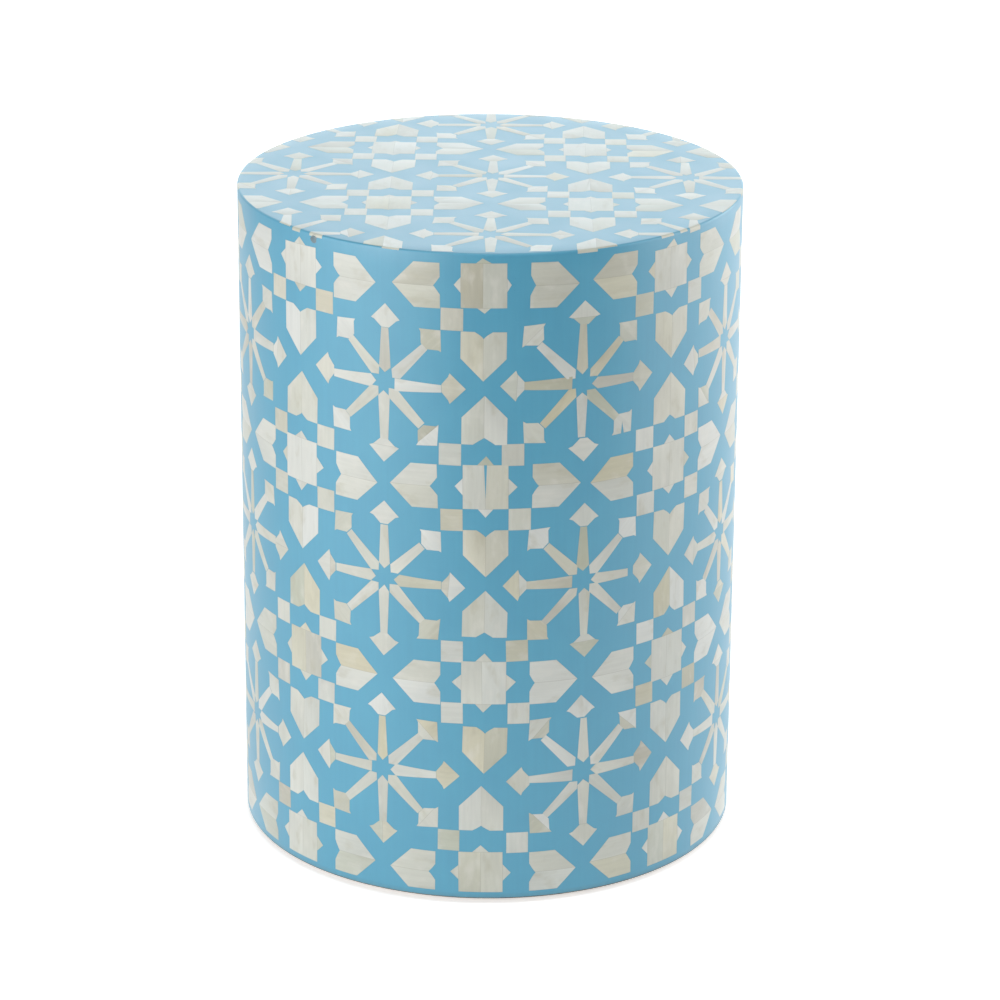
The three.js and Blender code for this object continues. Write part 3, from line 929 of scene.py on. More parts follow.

# %% [markdown]
# ## Laying a motif
# The maker sets each tile by hand along a drawn line, so tiles are a few tenths of a millimetre
# off and turned by up to a degree, and a whole motif wanders a little more. Each tile also gets
# its looks here. Most are ivory, some greyish, a few straw-coloured or olive. On the side that
# the photo shows, the motifs and tiles that stand out were noted. They keep their own
# place, in millimetres to the right and up of the drawn line, and their own looks: tone, straw
# and olive. A motif is known by its column and row: columns count to the right round the drum
# from the front one, and the wheel of a column is the one to the right of its star. On top a
# motif is known by its steps to the right and to the back of the middle. In the notes "whole" is
# a motif's own place, and tiles that go down together share the place of the first of them.

# %% Places noted from the photo
noted_places = {
    "star 6 0": {"right heart lower": (-5.0, -1.5)},
    "star 7 0": {
        "whole": (-2.0, 0.0), "right heart lower": (0.4, -2.4), "left heart upper": (-1.8, -1.4),
    },
    "star 0 0": {
        "whole": (-0.5, 0.0), "left half": (-1.2, 0.7), "right heart lower": (-1.0, 0.0),
        "left heart upper": (0.2, -0.4), "lower heart left": (-1.4, 0.0),
    },
    "star 1 0": {
        "whole": (-2.4, 1.0), "left half": (0.6, -1.0), "lower square": (2.6, 0.0),
        "right heart lower": (0.0, -0.9), "left heart upper": (1.0, -0.3),
        "lower heart left": (2.2, -0.5),
    },
    "wheel 6 0": {"whole": (-4.5, 1.8), "head 0": (2.0, -1.5)},
    "wheel 7 0": {
        "whole": (-0.8, -0.2), "arm 0": (0.0, -1.3), "head 0": (2.5, -0.8), "arm 1": (1.3, -0.9),
        "head 1": (1.3, 0.4), "arm 2": (0.5, 0.0), "head 2": (0.9, -0.5), "arm 3": (0.5, 0.5),
        "head 3": (2.0, 0.5), "arm 4": (0.0, -0.4), "head 4": (-1.8, 1.6), "arm 5": (-0.3, 0.5),
        "head 5": (-2.0, 0.3), "arm 6": (-0.3, 0.0), "head 6": (-0.6, -1.8), "arm 7": (-0.8, -0.6),
        "head 7": (-1.0, -2.5),
    },
    "wheel 0 0": {
        "whole": (-2.9, 0.5), "arm 0": (0.6, -1.2), "head 0": (0.3, -1.5), "arm 1": (0.6, -0.7),
        "head 1": (2.2, -0.8), "arm 2": (-0.6, 0.0), "head 2": (0.6, 2.2), "arm 3": (-1.5, -0.6),
        "head 3": (-2.9, 3.4), "arm 4": (0.0, 0.8), "head 4": (-2.9, 1.0), "arm 5": (-0.5, 0.6),
        "head 5": (-2.5, -0.3), "arm 6": (-0.8, 0.0), "head 6": (0.8, -0.6), "arm 7": (-1.3, -1.0),
        "head 7": (-1.4, -0.6),
    },
    "wheel 1 0": {"whole": (0.0, 1.0), "head 3": (-2.0, -3.0), "head 4": (-2.5, -3.0)},
    "star 7 1": {
        "whole": (-3.0, 0.0), "right square": (0.5, -1.2), "upper square": (0.4, -1.8),
        "left square": (0.6, 1.4), "lower square": (0.6, 0.8), "right heart lower": (2.0, -1.2),
        "upper heart right": (0.8, -1.2), "lower heart left": (1.3, 0.8),
    },
    "star 0 1": {
        "whole": (0.0, 0.0), "left half": (0.0, 0.8), "right square": (-4.6, 0.0),
        "upper square": (-0.9, 0.0), "left square": (0.0, 0.4), "lower square": (0.0, 1.0),
        "right heart lower": (0.8, 0.6), "upper heart right": (-0.8, -0.5),
        "left heart upper": (-1.9, 0.0), "lower heart left": (0.0, 1.4),
    },
    "star 1 1": {
        "whole": (-0.5, 0.0), "left square": (2.0, 0.0), "lower square": (1.5, 1.8),
        "right heart lower": (1.5, 2.0), "left heart upper": (-1.4, -0.2),
        "lower heart left": (1.9, -0.6),
    },
    "wheel 6 1": {"whole": (-5.5, 2.2), "head 0": (2.0, -2.0)},
    "wheel 7 1": {
        "whole": (-1.6, 1.0), "arm 0": (1.4, -1.0), "head 0": (3.4, -1.8), "arm 1": (0.5, -0.5),
        "head 1": (2.0, -1.4), "head 3": (-0.7, 1.6), "arm 4": (0.0, -0.3), "head 4": (-1.2, -0.8),
        "head 5": (-1.4, -0.4), "head 6": (0.0, -2.6), "arm 7": (0.2, -0.2), "head 7": (1.0, -1.6),
    },
    "wheel 0 1": {
        "whole": (-1.4, 1.0), "arm 0": (0.0, -0.6), "head 0": (1.6, 0.3), "arm 1": (0.6, -0.8),
        "head 1": (2.2, 0.0), "arm 4": (0.0, -0.8), "head 4": (-1.9, -0.8), "arm 5": (0.0, -1.2),
        "head 5": (-0.4, -1.8), "arm 6": (1.4, 0.0), "head 6": (2.3, -2.1), "arm 7": (0.8, 0.4),
        "head 7": (3.3, 0.8),
    },
    "wheel 1 1": {
        "head 3": (4.0, 0.0), "head 4": (2.6, -0.6), "arm 5": (1.5, 0.0), "head 5": (3.0, -1.0),
        "head 6": (1.5, 1.0),
    },
    "star 7 2": {
        "whole": (-2.5, 0.0), "left half": (1.9, 0.8), "left square": (-0.6, 1.0),
        "lower square": (-1.2, 0.2), "upper heart right": (0.8, 0.2),
        "left heart upper": (-2.2, 0.0),
    },
    "star 0 2": {
        "whole": (-0.3, 0.0), "left half": (-0.4, 0.0), "right square": (-0.8, 0.0),
        "upper square": (0.8, -1.1), "left square": (1.0, 0.6), "lower square": (0.7, 0.8),
        "right heart lower": (0.4, -0.7), "upper heart right": (0.0, 2.1),
        "left heart upper": (0.6, -1.7), "lower heart left": (0.7, -1.4),
    },
    "star 1 2": {
        "whole": (3.0, 0.0), "left half": (-1.0, -0.4), "upper square": (0.6, 0.0),
        "left square": (0.3, 0.6), "right heart lower": (-0.6, -1.0),
        "upper heart right": (0.4, 0.2), "left heart upper": (-1.6, -0.6),
        "lower heart left": (-1.4, -0.4),
    },
    "wheel 6 2": {"whole": (-3.0, 0.0)},
    "wheel 7 2": {
        "whole": (-3.3, 0.4), "head 0": (1.6, 0.3), "arm 1": (0.4, -0.4), "head 1": (1.6, 0.6),
        "head 2": (-0.6, 1.0), "arm 3": (-0.5, -0.5), "head 3": (-1.9, 0.2), "head 4": (-1.2, 0.0),
        "head 5": (-2.1, -1.0), "head 6": (0.3, -2.0), "head 7": (2.0, -0.6),
    },
    "wheel 0 2": {
        "whole": (1.0, 0.0), "head 0": (2.8, 1.2), "arm 1": (1.0, -0.6), "head 1": (3.6, -0.6),
        "head 2": (-2.3, 2.0), "arm 3": (-1.8, 0.6), "head 3": (-0.6, 3.2), "arm 4": (-0.4, -2.0),
        "head 4": (-1.0, -3.0), "arm 5": (-0.2, -2.5), "head 5": (-0.2, -3.6),
        "head 6": (0.6, -2.0), "arm 7": (0.4, 0.4), "head 7": (2.3, -0.9),
    },
    "wheel 1 2": {"whole": (3.5, 0.0)},
    "star 6 3": {"right heart lower": (-2.5, 0.0)},
    "star 7 3": {
        "whole": (-4.5, 0.0), "left half": (-2.1, -1.6), "right heart lower": (0.0, -0.8),
        "upper heart right": (-0.2, -1.5), "left heart upper": (-1.8, -1.6),
    },
    "star 0 3": {
        "whole": (0.0, -0.8), "left half": (-2.2, -0.6), "right square": (0.2, -1.6),
        "upper square": (-1.4, 0.0), "right heart lower": (1.0, -1.7),
        "upper heart right": (-1.8, 0.1), "left heart upper": (-3.2, -1.5),
    },
    "star 1 3": {
        "whole": (3.0, 0.0), "left half": (-1.0, 0.1), "upper square": (0.0, -1.2),
        "right heart lower": (0.5, -0.8), "upper heart right": (0.0, -1.2),
        "left heart upper": (-1.0, 0.0),
    },
    "top star -1 1": {"whole": (3.4, -3.4)},
    "top star 0 1": {"whole": (-4.4, -1.6)},
    "top wheel -1 1": {"whole": (0.4, -2.2), "head 0": (0.0, 0.5)},
    "top wheel 0 1": {
        "whole": (-1.6, -5.0), "head 0": (0.5, 0.0), "head 4": (-0.4, 3.0), "head 5": (-0.5, 1.5),
    },
    "top wheel 1 1": {"whole": (-5.4, -5.0), "arm 5": (2.8, 2.0), "head 5": (3.0, 2.4)},
    "top star -1 0": {
        "upper square": (1.8, -0.6), "left square": (2.2, 0.3), "lower square": (0.6, 0.6),
        "right heart lower": (-0.6, 0.0), "left heart upper": (2.0, 0.0),
        "lower heart left": (1.4, 0.0),
    },
    "top star 0 0": {
        "whole": (-2.6, -0.5), "right square": (-0.8, -2.0), "upper square": (1.4, 0.0),
        "left square": (1.4, 0.0), "lower square": (0.0, -1.0), "right heart lower": (-0.8, -2.0),
        "left heart upper": (1.4, 0.0), "lower heart left": (1.8, 0.0),
    },
    "top star 1 0": {"left heart upper": (-4.6, -3.0)},
    "top wheel -1 0": {
        "whole": (0.9, 0.6), "arm 0": (0.8, 0.0), "head 0": (2.0, 0.0), "head 1": (0.6, 0.6),
    },
    "top wheel 0 0": {"whole": (1.4, -1.5), "head 1": (-1.6, 1.0)},
    "top wheel 1 0": {
        "whole": (0.0, -1.5), "head 1": (-2.6, 0.5), "arm 2": (-1.6, 0.0), "head 2": (-4.2, 0.6),
        "head 3": (-2.2, 0.5), "arm 4": (-1.8, 0.0), "head 4": (-2.2, 0.0), "head 5": (0.6, -1.2),
    },
    "top star -2 -1": {"right heart lower": (2.6, -1.8)},
    "top star -1 -1": {
        "upper square": (1.2, 0.0), "left square": (1.4, 0.3), "left heart upper": (3.0, 0.0),
        "lower heart left": (1.0, 0.3),
    },
    "top star 0 -1": {
        "right square": (-0.6, -0.5), "upper square": (1.0, 0.0), "left square": (1.6, -0.5),
        "lower heart left": (0.9, 0.0),
    },
    "top star 1 -1": {"left heart upper": (-1.0, -2.0)},
    "top wheel -1 -1": {
        "arm 0": (6.6, -5.0), "head 0": (2.6, -2.6), "arm 1": (3.6, 0.6), "head 1": (0.8, -0.3),
        "arm 2": (2.6, 0.0), "head 2": (2.0, 0.3),
    },
    "top wheel 0 -1": {
        "whole": (1.4, -3.5), "arm 0": (1.4, 0.0), "head 0": (2.8, 0.3), "head 5": (0.8, -1.5),
        "arm 6": (1.0, 0.0), "head 7": (2.7, 1.3),
    },
    "top wheel 1 -1": {
        "arm 2": (-0.4, -3.5), "head 2": (0.4, -3.6), "arm 3": (3.2, 0.0), "head 3": (2.8, -2.0),
        "arm 4": (-5.5, 0.0),
    },
    "top star -1 -2": {"upper heart right": (0.2, 0.1)},
    "top star 0 -2": {"upper heart right": (4.3, -1.7)},
}
print("motifs with noted places:", len(noted_places))

# %% Tiles at the rim: how far they reach over it, in millimetres
noted_rim_reaches = {
    "top star -2 -1": {"right heart lower": 0.5, "right heart upper": 0.5},
    "top star 1 -1": {"left heart lower": 1.0, "left heart upper": 1.0},
    "top wheel -1 -1": {"arm 2": 1.6},
    "top wheel 0 -1": {"head 5": 4.4, "arm 6": 0.9, "head 7": 1.9},
    "top wheel 1 -1": {"arm 2": 4.5},
    "top star -1 -2": {"upper heart left": 0.7, "upper heart right": 1.9},
    "top star 0 -2": {"upper heart left": 3.4, "upper heart right": 1.6},
}
print("motifs with noted reaches:", len(noted_rim_reaches))

# %% Odd shapes noted from the photo
# A star's open seam in millimetres. How much its right, upper, left and lower points are short,
# how far its upper left and right corners are sunk, and how its upper point leans to the right.
open_seams = {"star 0 1": 1.9}
noted_stars = {
    "star 0 0": ((3.0, 1.3, 0.8, 2.6), (0.6, 0.5), -1.2),
    "star 7 0": ((0.0, 0.2, 0.0, 0.5), (4.2, 3.0), 0.0),
    "star 1 0": ((0.5, 1.0, 0.0, 0.0), (2.3, 2.3), 1.5),
    "star 6 0": ((0.0, 0.5, 0.0, 0.0), (2.5, 3.5), 0.0),
}
# Two small hearts as shares of a whole one. Two arms with what is missing of their length, or is
# over. A head with a slot in it.
small_hearts = {"top star 0 -2 upper heart right": 0.86, "top star -1 -2 upper heart right": 0.84}
short_arms = {"wheel 0 1 arm 0": 3.0, "top wheel 0 -1 arm 6": -2.8}
slotted_heads = {"wheel 0 0 head 7": (0.55, 2.2, (43.4, 0.4))}
missing_tiles = {
    "star 0 0 lower square",
    "top wheel 0 -1 head 6",
    "top wheel 0 -1 head 6 tip",
    "top star -1 -2 right square",
    "top star 0 -2 upper square",
}
print("missing tiles:", len(missing_tiles))

# %% Looks noted from the photo: tone, straw and olive
noted_looks = {
    "star 7 0": {
        "left half": (0.8, 0.1, 0.0), "right half": (0.8, 0.1, 0.0), "left square": (0.6, 0.4, 0.0),
        "lower square": (0.3, 0.5, 0.0), "left heart lower": (0.85, 0.0, 0.0),
        "left heart upper": (0.85, 0.0, 0.0), "lower heart left": (0.95, 0.0, 0.0),
        "lower heart right": (0.7, 0.05, 0.1),
    },
    "star 0 0": {
        "left half": (0.16, 0.25, 0.1), "right half": (0.45, 0.1, 0.2),
        "upper point": (0.4, 0.2, 0.7), "right heart lower": (0.45, 0.2, 0.1),
        "right heart upper": (0.42, 0.2, 0.1), "left heart lower": (0.5, 0.3, 0.2),
        "left heart upper": (0.3, 0.2, 0.2),
    },
    "star 1 0": {
        "left half": (0.55, 0.15, 0.1), "right half": (0.6, 0.1, 0.05),
        "left square": (0.35, 0.3, 0.4), "right heart lower": (0.65, 0.1, 0.3),
        "right heart upper": (0.65, 0.1, 0.3), "lower heart left": (0.5, 0.5, 0.1),
        "lower heart right": (0.6, 0.3, 0.1),
    },
    "wheel 7 0": {
        "arm 0": (0.85, 0.0, 0.0), "head 0": (0.4, 0.4, 0.1), "head 1": (0.25, 0.3, 0.4),
        "head 3": (0.75, 0.0, 0.0), "arm 4": (0.8, 0.1, 0.0), "head 4": (0.7, 0.3, 0.0),
        "head 5": (0.85, 0.0, 0.0), "head 7": (0.15, 0.1, 0.4), "head 7 tip": (0.9, 0.0, 0.0),
    },
    "wheel 0 0": {
        "head 0": (0.4, 0.2, 0.3), "arm 1": (0.3, 0.6, 0.1), "head 1": (0.45, 0.1, 0.4),
        "arm 2": (0.3, 0.4, 0.1), "arm 3": (0.75, 0.0, 0.0), "arm 4": (0.15, 0.4, 0.4),
        "arm 5": (0.3, 0.9, 0.1), "arm 6": (0.65, 0.0, 0.0), "arm 7": (0.3, 0.2, 0.7),
        "head 7": (0.8, 0.0, 0.2),
    },
    "star 7 1": {
        "left half": (0.85, 0.05, 0.0), "right half": (0.85, 0.05, 0.0),
        "upper square": (0.35, 0.3, 0.2), "left square": (0.45, 0.2, 0.1),
        "lower heart left": (0.75, 0.2, 0.05), "lower heart right": (0.9, 0.0, 0.0),
    },
    "star 0 1": {
        "left half": (0.65, 0.1, 0.1), "right half": (0.55, 0.35, 0.1),
        "upper point": (0.3, 0.1, 0.8), "left point": (0.95, 0.0, 0.0),
        "lower point": (0.8, 0.0, 0.0), "left square": (0.35, 0.5, 0.2),
        "right heart lower": (0.65, 0.1, 0.0), "right heart upper": (0.42, 0.3, 0.1),
        "lower heart left": (0.55, 0.5, 0.0), "lower heart right": (0.4, 0.3, 0.1),
    },
    "star 1 1": {
        "left half": (0.7, 0.2, 0.05), "right half": (0.7, 0.2, 0.05),
        "right heart lower": (0.9, 0.05, 0.0), "right heart upper": (0.9, 0.05, 0.0),
        "upper heart left": (0.65, 0.35, 0.0), "upper heart right": (0.65, 0.35, 0.0),
        "lower heart left": (0.5, 0.2, 0.2), "lower heart right": (0.75, 0.3, 0.0),
    },
    "wheel 7 1": {
        "arm 0": (0.4, 0.5, 0.3), "head 0": (0.4, 0.3, 0.1), "head 0 tip": (0.85, 0.0, 0.0),
        "head 1": (0.95, 0.0, 0.0), "head 3": (0.45, 0.2, 0.3), "head 5": (0.45, 0.2, 0.2),
        "head 7": (0.5, 0.3, 0.3),
    },
    "wheel 0 1": {
        "head 1": (0.95, 0.0, 0.0), "arm 2": (0.2, 0.1, 0.8), "head 2": (0.75, 0.0, 0.2),
        "arm 3": (0.5, 0.4, 0.1), "head 3": (0.9, 0.0, 0.0), "arm 4": (0.3, 0.3, 0.1),
        "head 5": (0.25, 0.5, 0.2), "head 6": (0.75, 0.1, 0.1), "head 6 tip": (0.4, 0.2, 0.6),
    },
    "star 7 2": {
        "right heart lower": (0.75, 0.1, 0.0), "left heart lower": (0.6, 0.1, 0.3),
        "left heart upper": (0.6, 0.1, 0.3),
    },
    "star 0 2": {
        "right square": (0.25, 0.4, 0.3), "right heart lower": (0.8, 0.05, 0.0),
        "right heart upper": (0.8, 0.05, 0.0), "left heart lower": (0.85, 0.0, 0.0),
        "left heart upper": (0.6, 0.2, 0.1), "lower heart left": (0.5, 0.7, 0.0),
        "lower heart right": (0.35, 0.4, 0.3),
    },
    "star 1 2": {
        "upper point": (0.1, 0.4, 0.5), "upper square": (0.9, 0.0, 0.0),
        "left square": (0.25, 0.5, 0.2), "lower square": (0.15, 0.3, 0.4),
        "right heart lower": (0.85, 0.0, 0.0), "right heart upper": (0.85, 0.0, 0.0),
        "upper heart left": (0.1, 0.7, 0.3), "upper heart right": (0.8, 0.0, 0.0),
        "left heart lower": (0.8, 0.1, 0.0), "left heart upper": (0.75, 0.1, 0.0),
    },
    "wheel 7 2": {"arm 2": (0.2, 0.9, 0.2), "head 2": (0.95, 0.0, 0.0), "head 5": (0.35, 0.2, 0.3)},
    "wheel 0 2": {
        "head 1": (0.35, 0.3, 0.2), "head 1 tip": (0.9, 0.0, 0.0), "head 2": (0.85, 0.0, 0.0),
        "arm 3": (0.85, 0.0, 0.0), "head 3": (0.45, 0.2, 0.4), "head 3 tip": (0.65, 0.1, 0.1),
        "head 5": (0.9, 0.0, 0.0), "head 5 tip": (0.3, 0.3, 0.4),
    },
    "star 0 3": {
        "left half": (0.45, 0.4, 0.2), "right half": (0.6, 0.3, 0.1),
        "upper heart left": (0.75, 0.1, 0.0), "upper heart right": (0.7, 0.2, 0.0),
        "left heart lower": (0.7, 0.2, 0.1), "left heart upper": (0.65, 0.2, 0.1),
    },
    "top wheel 0 -1": {"head 5": (0.7, 0.1, 0.0), "head 7": (0.8, 0.0, 0.0)},
}
print("motifs with noted looks:", len(noted_looks))


# %% Tiles with their place, grain and looks
def noted(notes, motif_name, part, otherwise):
    """What was noted of a part of a motif, or something else where nothing was."""
    return notes.get(motif_name, {}).get(part, otherwise)


# A few tiles in a hundred have a strong tint, and all others a faint one.
straw_share = 0.07
olive_share = 0.09
strong_tint = (0.4, 0.8)
faint_straw = (0.0, 0.25)
faint_olive = (0.0, 0.2)
tone_slope = 0.004
bone_stretch = 500.0
tile_lifts = (0.03, 0.045)
rim_reaches = (2.2, 3.7)


class Tile:
    """A flat outline with the middle and direction of its grain, and its looks.

    Its grain starts somewhere in a long stretch of bone, and its tone slopes a little across it.
    """

    def __init__(self, motif_name, part, outline, middle, angle, tone):
        self.name = f"{motif_name} {part}"
        self.outline = outline
        self.middle = middle
        self.angle = angle
        straw = hand.uniform(*strong_tint) if hand.random() < straw_share else hand.uniform(*faint_straw)
        olive = hand.uniform(*strong_tint) if hand.random() < olive_share else hand.uniform(*faint_olive)
        self.look = noted(noted_looks, motif_name, part, (tone, straw, olive))
        slope_way = hand.uniform(0, full_turn)
        slope = hand.gauss(0, tone_slope)
        self.slope = (slope * math.cos(slope_way), slope * math.sin(slope_way))
        self.start = [hand.uniform(0, bone_stretch) for axis in range(3)]
        self.lift = hand.uniform(*tile_lifts)
        self.rim_reach = noted(noted_rim_reaches, motif_name, part, hand.uniform(*rim_reaches))


print("a tile stands over the resin by", tile_lifts, "mm")

# %% Laying plates down
tile_slip = 0.30
tile_twist = math.radians(0.7)
motif_slip = 0.5
motif_twist = math.radians(0.35)
usual_tone = 0.68
strip_spread = 0.12
plate_spread = 0.08
dark_share = 0.05
darkening = 0.45


def centre(points):
    """The mean of some flat points."""
    return sum(x for x, y in points) / len(points), sum(y for x, y in points) / len(points)


def lay(names, plates, motif, angle, grain_angle, dull=0.0, looseness=1.0):
    """Puts plates down together: turned to their side of the motif, and off by a hand's slip.

    Plates that go down together are mostly cut from one strip of bone, so their tones are close.
    """
    motif_name, motif_x, motif_y, motif_angle = motif
    turn = angle + motif_angle
    placed = [[turned(p, turn) for p in plate] for plate in plates]
    middle = centre([p for plate in placed for p in plate])
    twist = hand.gauss(0, tile_twist * looseness)
    slip = (hand.gauss(0, tile_slip * looseness), hand.gauss(0, tile_slip * looseness))
    slip = noted(noted_places, motif_name, names[0], slip)
    share = small_hearts.get(f"{motif_name} {names[0]}", 1.0)
    strip_tone = hand.gauss(usual_tone, strip_spread) - dull
    tiles = []
    for name, plate in zip(names, placed):
        outline = []
        for x, y in plate:
            dx, dy = turned(((x - middle[0]) * share, (y - middle[1]) * share), twist)
            outline.append((motif_x + middle[0] + slip[0] + dx, motif_y + middle[1] + slip[1] + dy))
        tone = min(1.0, max(0.0, hand.gauss(strip_tone, plate_spread)))
        if hand.random() < dark_share:
            tone *= darkening
        tiles.append(Tile(motif_name, name, outline, centre(outline), grain_angle + turn, tone))
    return tiles


def new_motif(name, middle):
    """A motif's name, place and turn: where it was noted, or off by a hand's slip."""
    hand.seed(name)
    slip = (hand.gauss(0, motif_slip), hand.gauss(0, motif_slip))
    slip = noted(noted_places, name, "whole", slip)
    return name, middle[0] + slip[0], middle[1] + slip[1], hand.gauss(0, motif_twist)


print("a tile slips by", tile_slip, "mm, a motif by", motif_slip, "mm")

# %% Laying a star with its squares and hearts
heart_names = {
    "right": ("lower", "upper"),
    "upper": ("right", "left"),
    "left": ("upper", "lower"),
    "lower": ("left", "right"),
}
# The top's stars have short points, and the first row's are squeezed under the rim.
top_points_short = (1.5, 3.5)
first_row_short = 1.0
first_row_sunk = (0, 2)
star_looseness = 0.3


def lay_star(name, middle, has_square, has_heart):
    """A star with its squares and hearts. The sides are right, up, left and down."""
    motif = new_motif(name, middle)
    upright = math.pi / 2
    names = ("left half", "right half", *(f"{side} point" for side in side_names))
    if name.startswith("top"):
        shape = ([hand.uniform(*top_points_short) for side in side_names],)
    elif has_square[1]:
        shape = ()
    else:
        sunk = (hand.uniform(*first_row_sunk), hand.uniform(*first_row_sunk))
        shape = ((0, first_row_short, 0, 0), sunk, 0.0)
    plates = star_plates(open_seams.get(name, 0.0), *noted_stars.get(name, shape))
    tiles = lay(names, plates, motif, 0, upright, looseness=star_looseness)
    for i, side in enumerate(side_names):
        angle = i * math.pi / 2
        if has_square[i]:
            tiles += lay([f"{side} square"], [small_square()], motif, angle, hand.choice((0, upright)))
        if has_heart[i]:
            names = [f"{side} heart {half}" for half in heart_names[side]]
            tiles += lay(names, heart_plates(), motif, angle, 0)
    return tiles


print("hearts' halves:", heart_names)

# %% Laying a wheel
blunt_share = 0.6
arm_dullness = 0.12
wheel_looseness = 0.6


def lay_wheel(name, middle):
    """A wheel of eight arms with their heads. The arms count anticlockwise from the right one.

    An arm is as long as it needs to be to meet its head, where places were noted for them.
    """
    motif = new_motif(name, middle)
    looks = noted_looks.get(name, {})
    tiles = []
    for spoke in range(spokes):
        angle = spoke * full_turn / spokes
        is_level = spoke in (0, spokes // 2)
        meets_square = spoke % 2 == 1
        blunt = is_level and hand.random() < blunt_share
        arm, head, tip = f"arm {spoke}", f"head {spoke}", f"head {spoke} tip"
        arm_x, arm_y = noted(noted_places, name, arm, (0, 0))
        head_x, head_y = noted(noted_places, name, head, (0, 0))
        further = (head_x - arm_x) * math.cos(angle) + (head_y - arm_y) * math.sin(angle)
        missing = short_arms.get(f"{name} {arm}", -further)
        plates = [arm_plate(blunt, missing)]
        tiles += lay([arm], plates, motif, angle, 0, arm_dullness, wheel_looseness)
        is_split = tip in looks if head in looks else None
        plates = head_plates(meets_square, is_split, slotted_heads.get(f"{name} {head}"))
        grain_angle = hand.choice((0, math.pi / 2))
        tiles += lay([head, tip], plates, motif, angle, grain_angle, looseness=wheel_looseness)
    return tiles


print("arms of a wheel:", spokes)


# %% [markdown]
# ## From flat tiles to plates on the drum
# All tiles of a column are drawn as flat faces in one mesh. Each face is inset by a hair, which
# gives the eased edge, and the column is sliced upright every few millimetres, so that it can
# follow the curve. Pushing the faces down gives the plates their thickness, and the last step
# rolls them onto the drum. On top the tiles are clipped at the rim instead, and the clipped edge
# is carried over the rounded arris and a little way down the side, as the real plates' sawn
# edges show there.

# %% Rolling and folding flat points onto the drum
resin_depth = 0.06
arris_radius = 1.6
flat_radius = drum_radius / mm - arris_radius


def roll_on_side(x, y, lift):
    """A flat point of the side's pattern, at a lift over the resin, on the drum."""
    angle = x * mm / drum_radius
    radius = drum_radius - (resin_depth - lift) * mm
    return Vector(
        (radius * math.sin(angle), -radius * math.cos(angle), first_row_height + y * row_stretch * mm)
    )


def fold_on_top(x, y, lift):
    """A flat point of the top's pattern. Beyond the arris it folds down onto the side."""
    out = math.hypot(x, y)
    depth = resin_depth - lift
    if out <= flat_radius:
        return Vector((x * mm, y * mm, drum_top - depth * mm))
    turn = (out - flat_radius) / arris_radius
    below = max(0.0, turn - math.pi / 2) * arris_radius
    turn = min(turn, math.pi / 2)
    bend = arris_radius - depth
    radius = flat_radius + bend * math.sin(turn)
    height = drum_top / mm - arris_radius + bend * math.cos(turn) - below
    return Vector((x / out * radius * mm, y / out * radius * mm, height * mm))


print(f"the top is flat to {flat_radius:.1f} mm from the axis")

# %% Flat faces
eased_edge = 0.16
slice_width = 3.4


def flat_faces(tiles):
    """A flat mesh of all tiles, each with its number and an eased edge."""
    work = bmesh.new()
    number = work.faces.layers.int.new("number")
    for i, tile in enumerate(tiles):
        face = work.faces.new([work.verts.new((x, y, 0)) for x, y in tile.outline])
        face[number] = i
        face.normal_update()
    bmesh.ops.recalc_face_normals(work, faces=work.faces[:])
    for face in work.faces:
        if face.normal.z < 0:
            face.normal_flip()
    bmesh.ops.inset_individual(work, faces=work.faces[:], thickness=eased_edge, use_even_offset=True)
    return work


def slice_upright(work):
    """Slices the faces upright, so that they can bend round the drum."""
    across = [v.co.x for v in work.verts]
    x = min(across) + slice_width
    while x < max(across):
        everything = work.verts[:] + work.edges[:] + work.faces[:]
        bmesh.ops.bisect_plane(work, geom=everything, plane_co=(x, 0, 0), plane_no=(1, 0, 0))
        x += slice_width


print("a column is sliced every", slice_width, "mm")

# %% Clipping at the rim
rim_facets = 360
arris_steps = 8
rim_hair = 0.02


def clip_at_rim(work, tiles):
    """Clips the faces at the rim and carries the clipped edges over the arris."""
    number = work.faces.layers.int["number"]
    half = math.pi / rim_facets
    for facet in range(rim_facets):
        angle = 2 * facet * half
        outward = Vector((math.cos(angle), math.sin(angle), 0))
        everything = work.verts[:] + work.edges[:] + work.faces[:]
        bmesh.ops.bisect_plane(
            work,
            geom=everything,
            plane_co=outward * flat_radius * math.cos(half),
            plane_no=outward,
            clear_outer=True,
        )
    on_rim = flat_radius * math.cos(half) - rim_hair
    rim = [e for e in work.edges if e.is_boundary and all(v.co.length > on_rim for v in e.verts)]
    for step in range(arris_steps):
        grown = bmesh.ops.extrude_edge_only(work, edges=rim)["geom"]
        for vert in (g for g in grown if isinstance(g, bmesh.types.BMVert)):
            tile = tiles[vert.link_faces[0][number]]
            reach = flat_radius + tile.rim_reach * (step + 1) / arris_steps
            vert.co = vert.co.normalized() * reach
        rim = [g for g in grown if isinstance(g, bmesh.types.BMEdge) and g.is_boundary]
        rim = [e for e in rim if all(v in grown for v in e.verts)]


print("the rim is clipped in", rim_facets, "facets and folded in", arris_steps, "steps")

# %% Pieces from bmeshes
sharp_angle = math.radians(35)


def finished_piece(name, work, material):
    """An object from a bmesh, smooth but for its sharp edges. It rides on the one body."""
    mesh = bpy.data.meshes.new(name)
    work.to_mesh(mesh)
    work.free()
    mesh.polygons.foreach_set("use_smooth", [True] * len(mesh.polygons))
    mesh.set_sharp_from_angle(angle=sharp_angle)
    mesh.materials.append(material)
    piece = bpy.data.objects.new(name, mesh)
    scene.collection.objects.link(piece)
    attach(piece, "root")
    print(name, "has", len(mesh.polygons), "faces")
    return piece


# %% Giving the faces their numbers and thickness, and placing them
edge_lift = 0.02
plate_thickness = 1.2
sawn_from = flat_radius + 0.3 * arris_radius
most_shade = 0.07


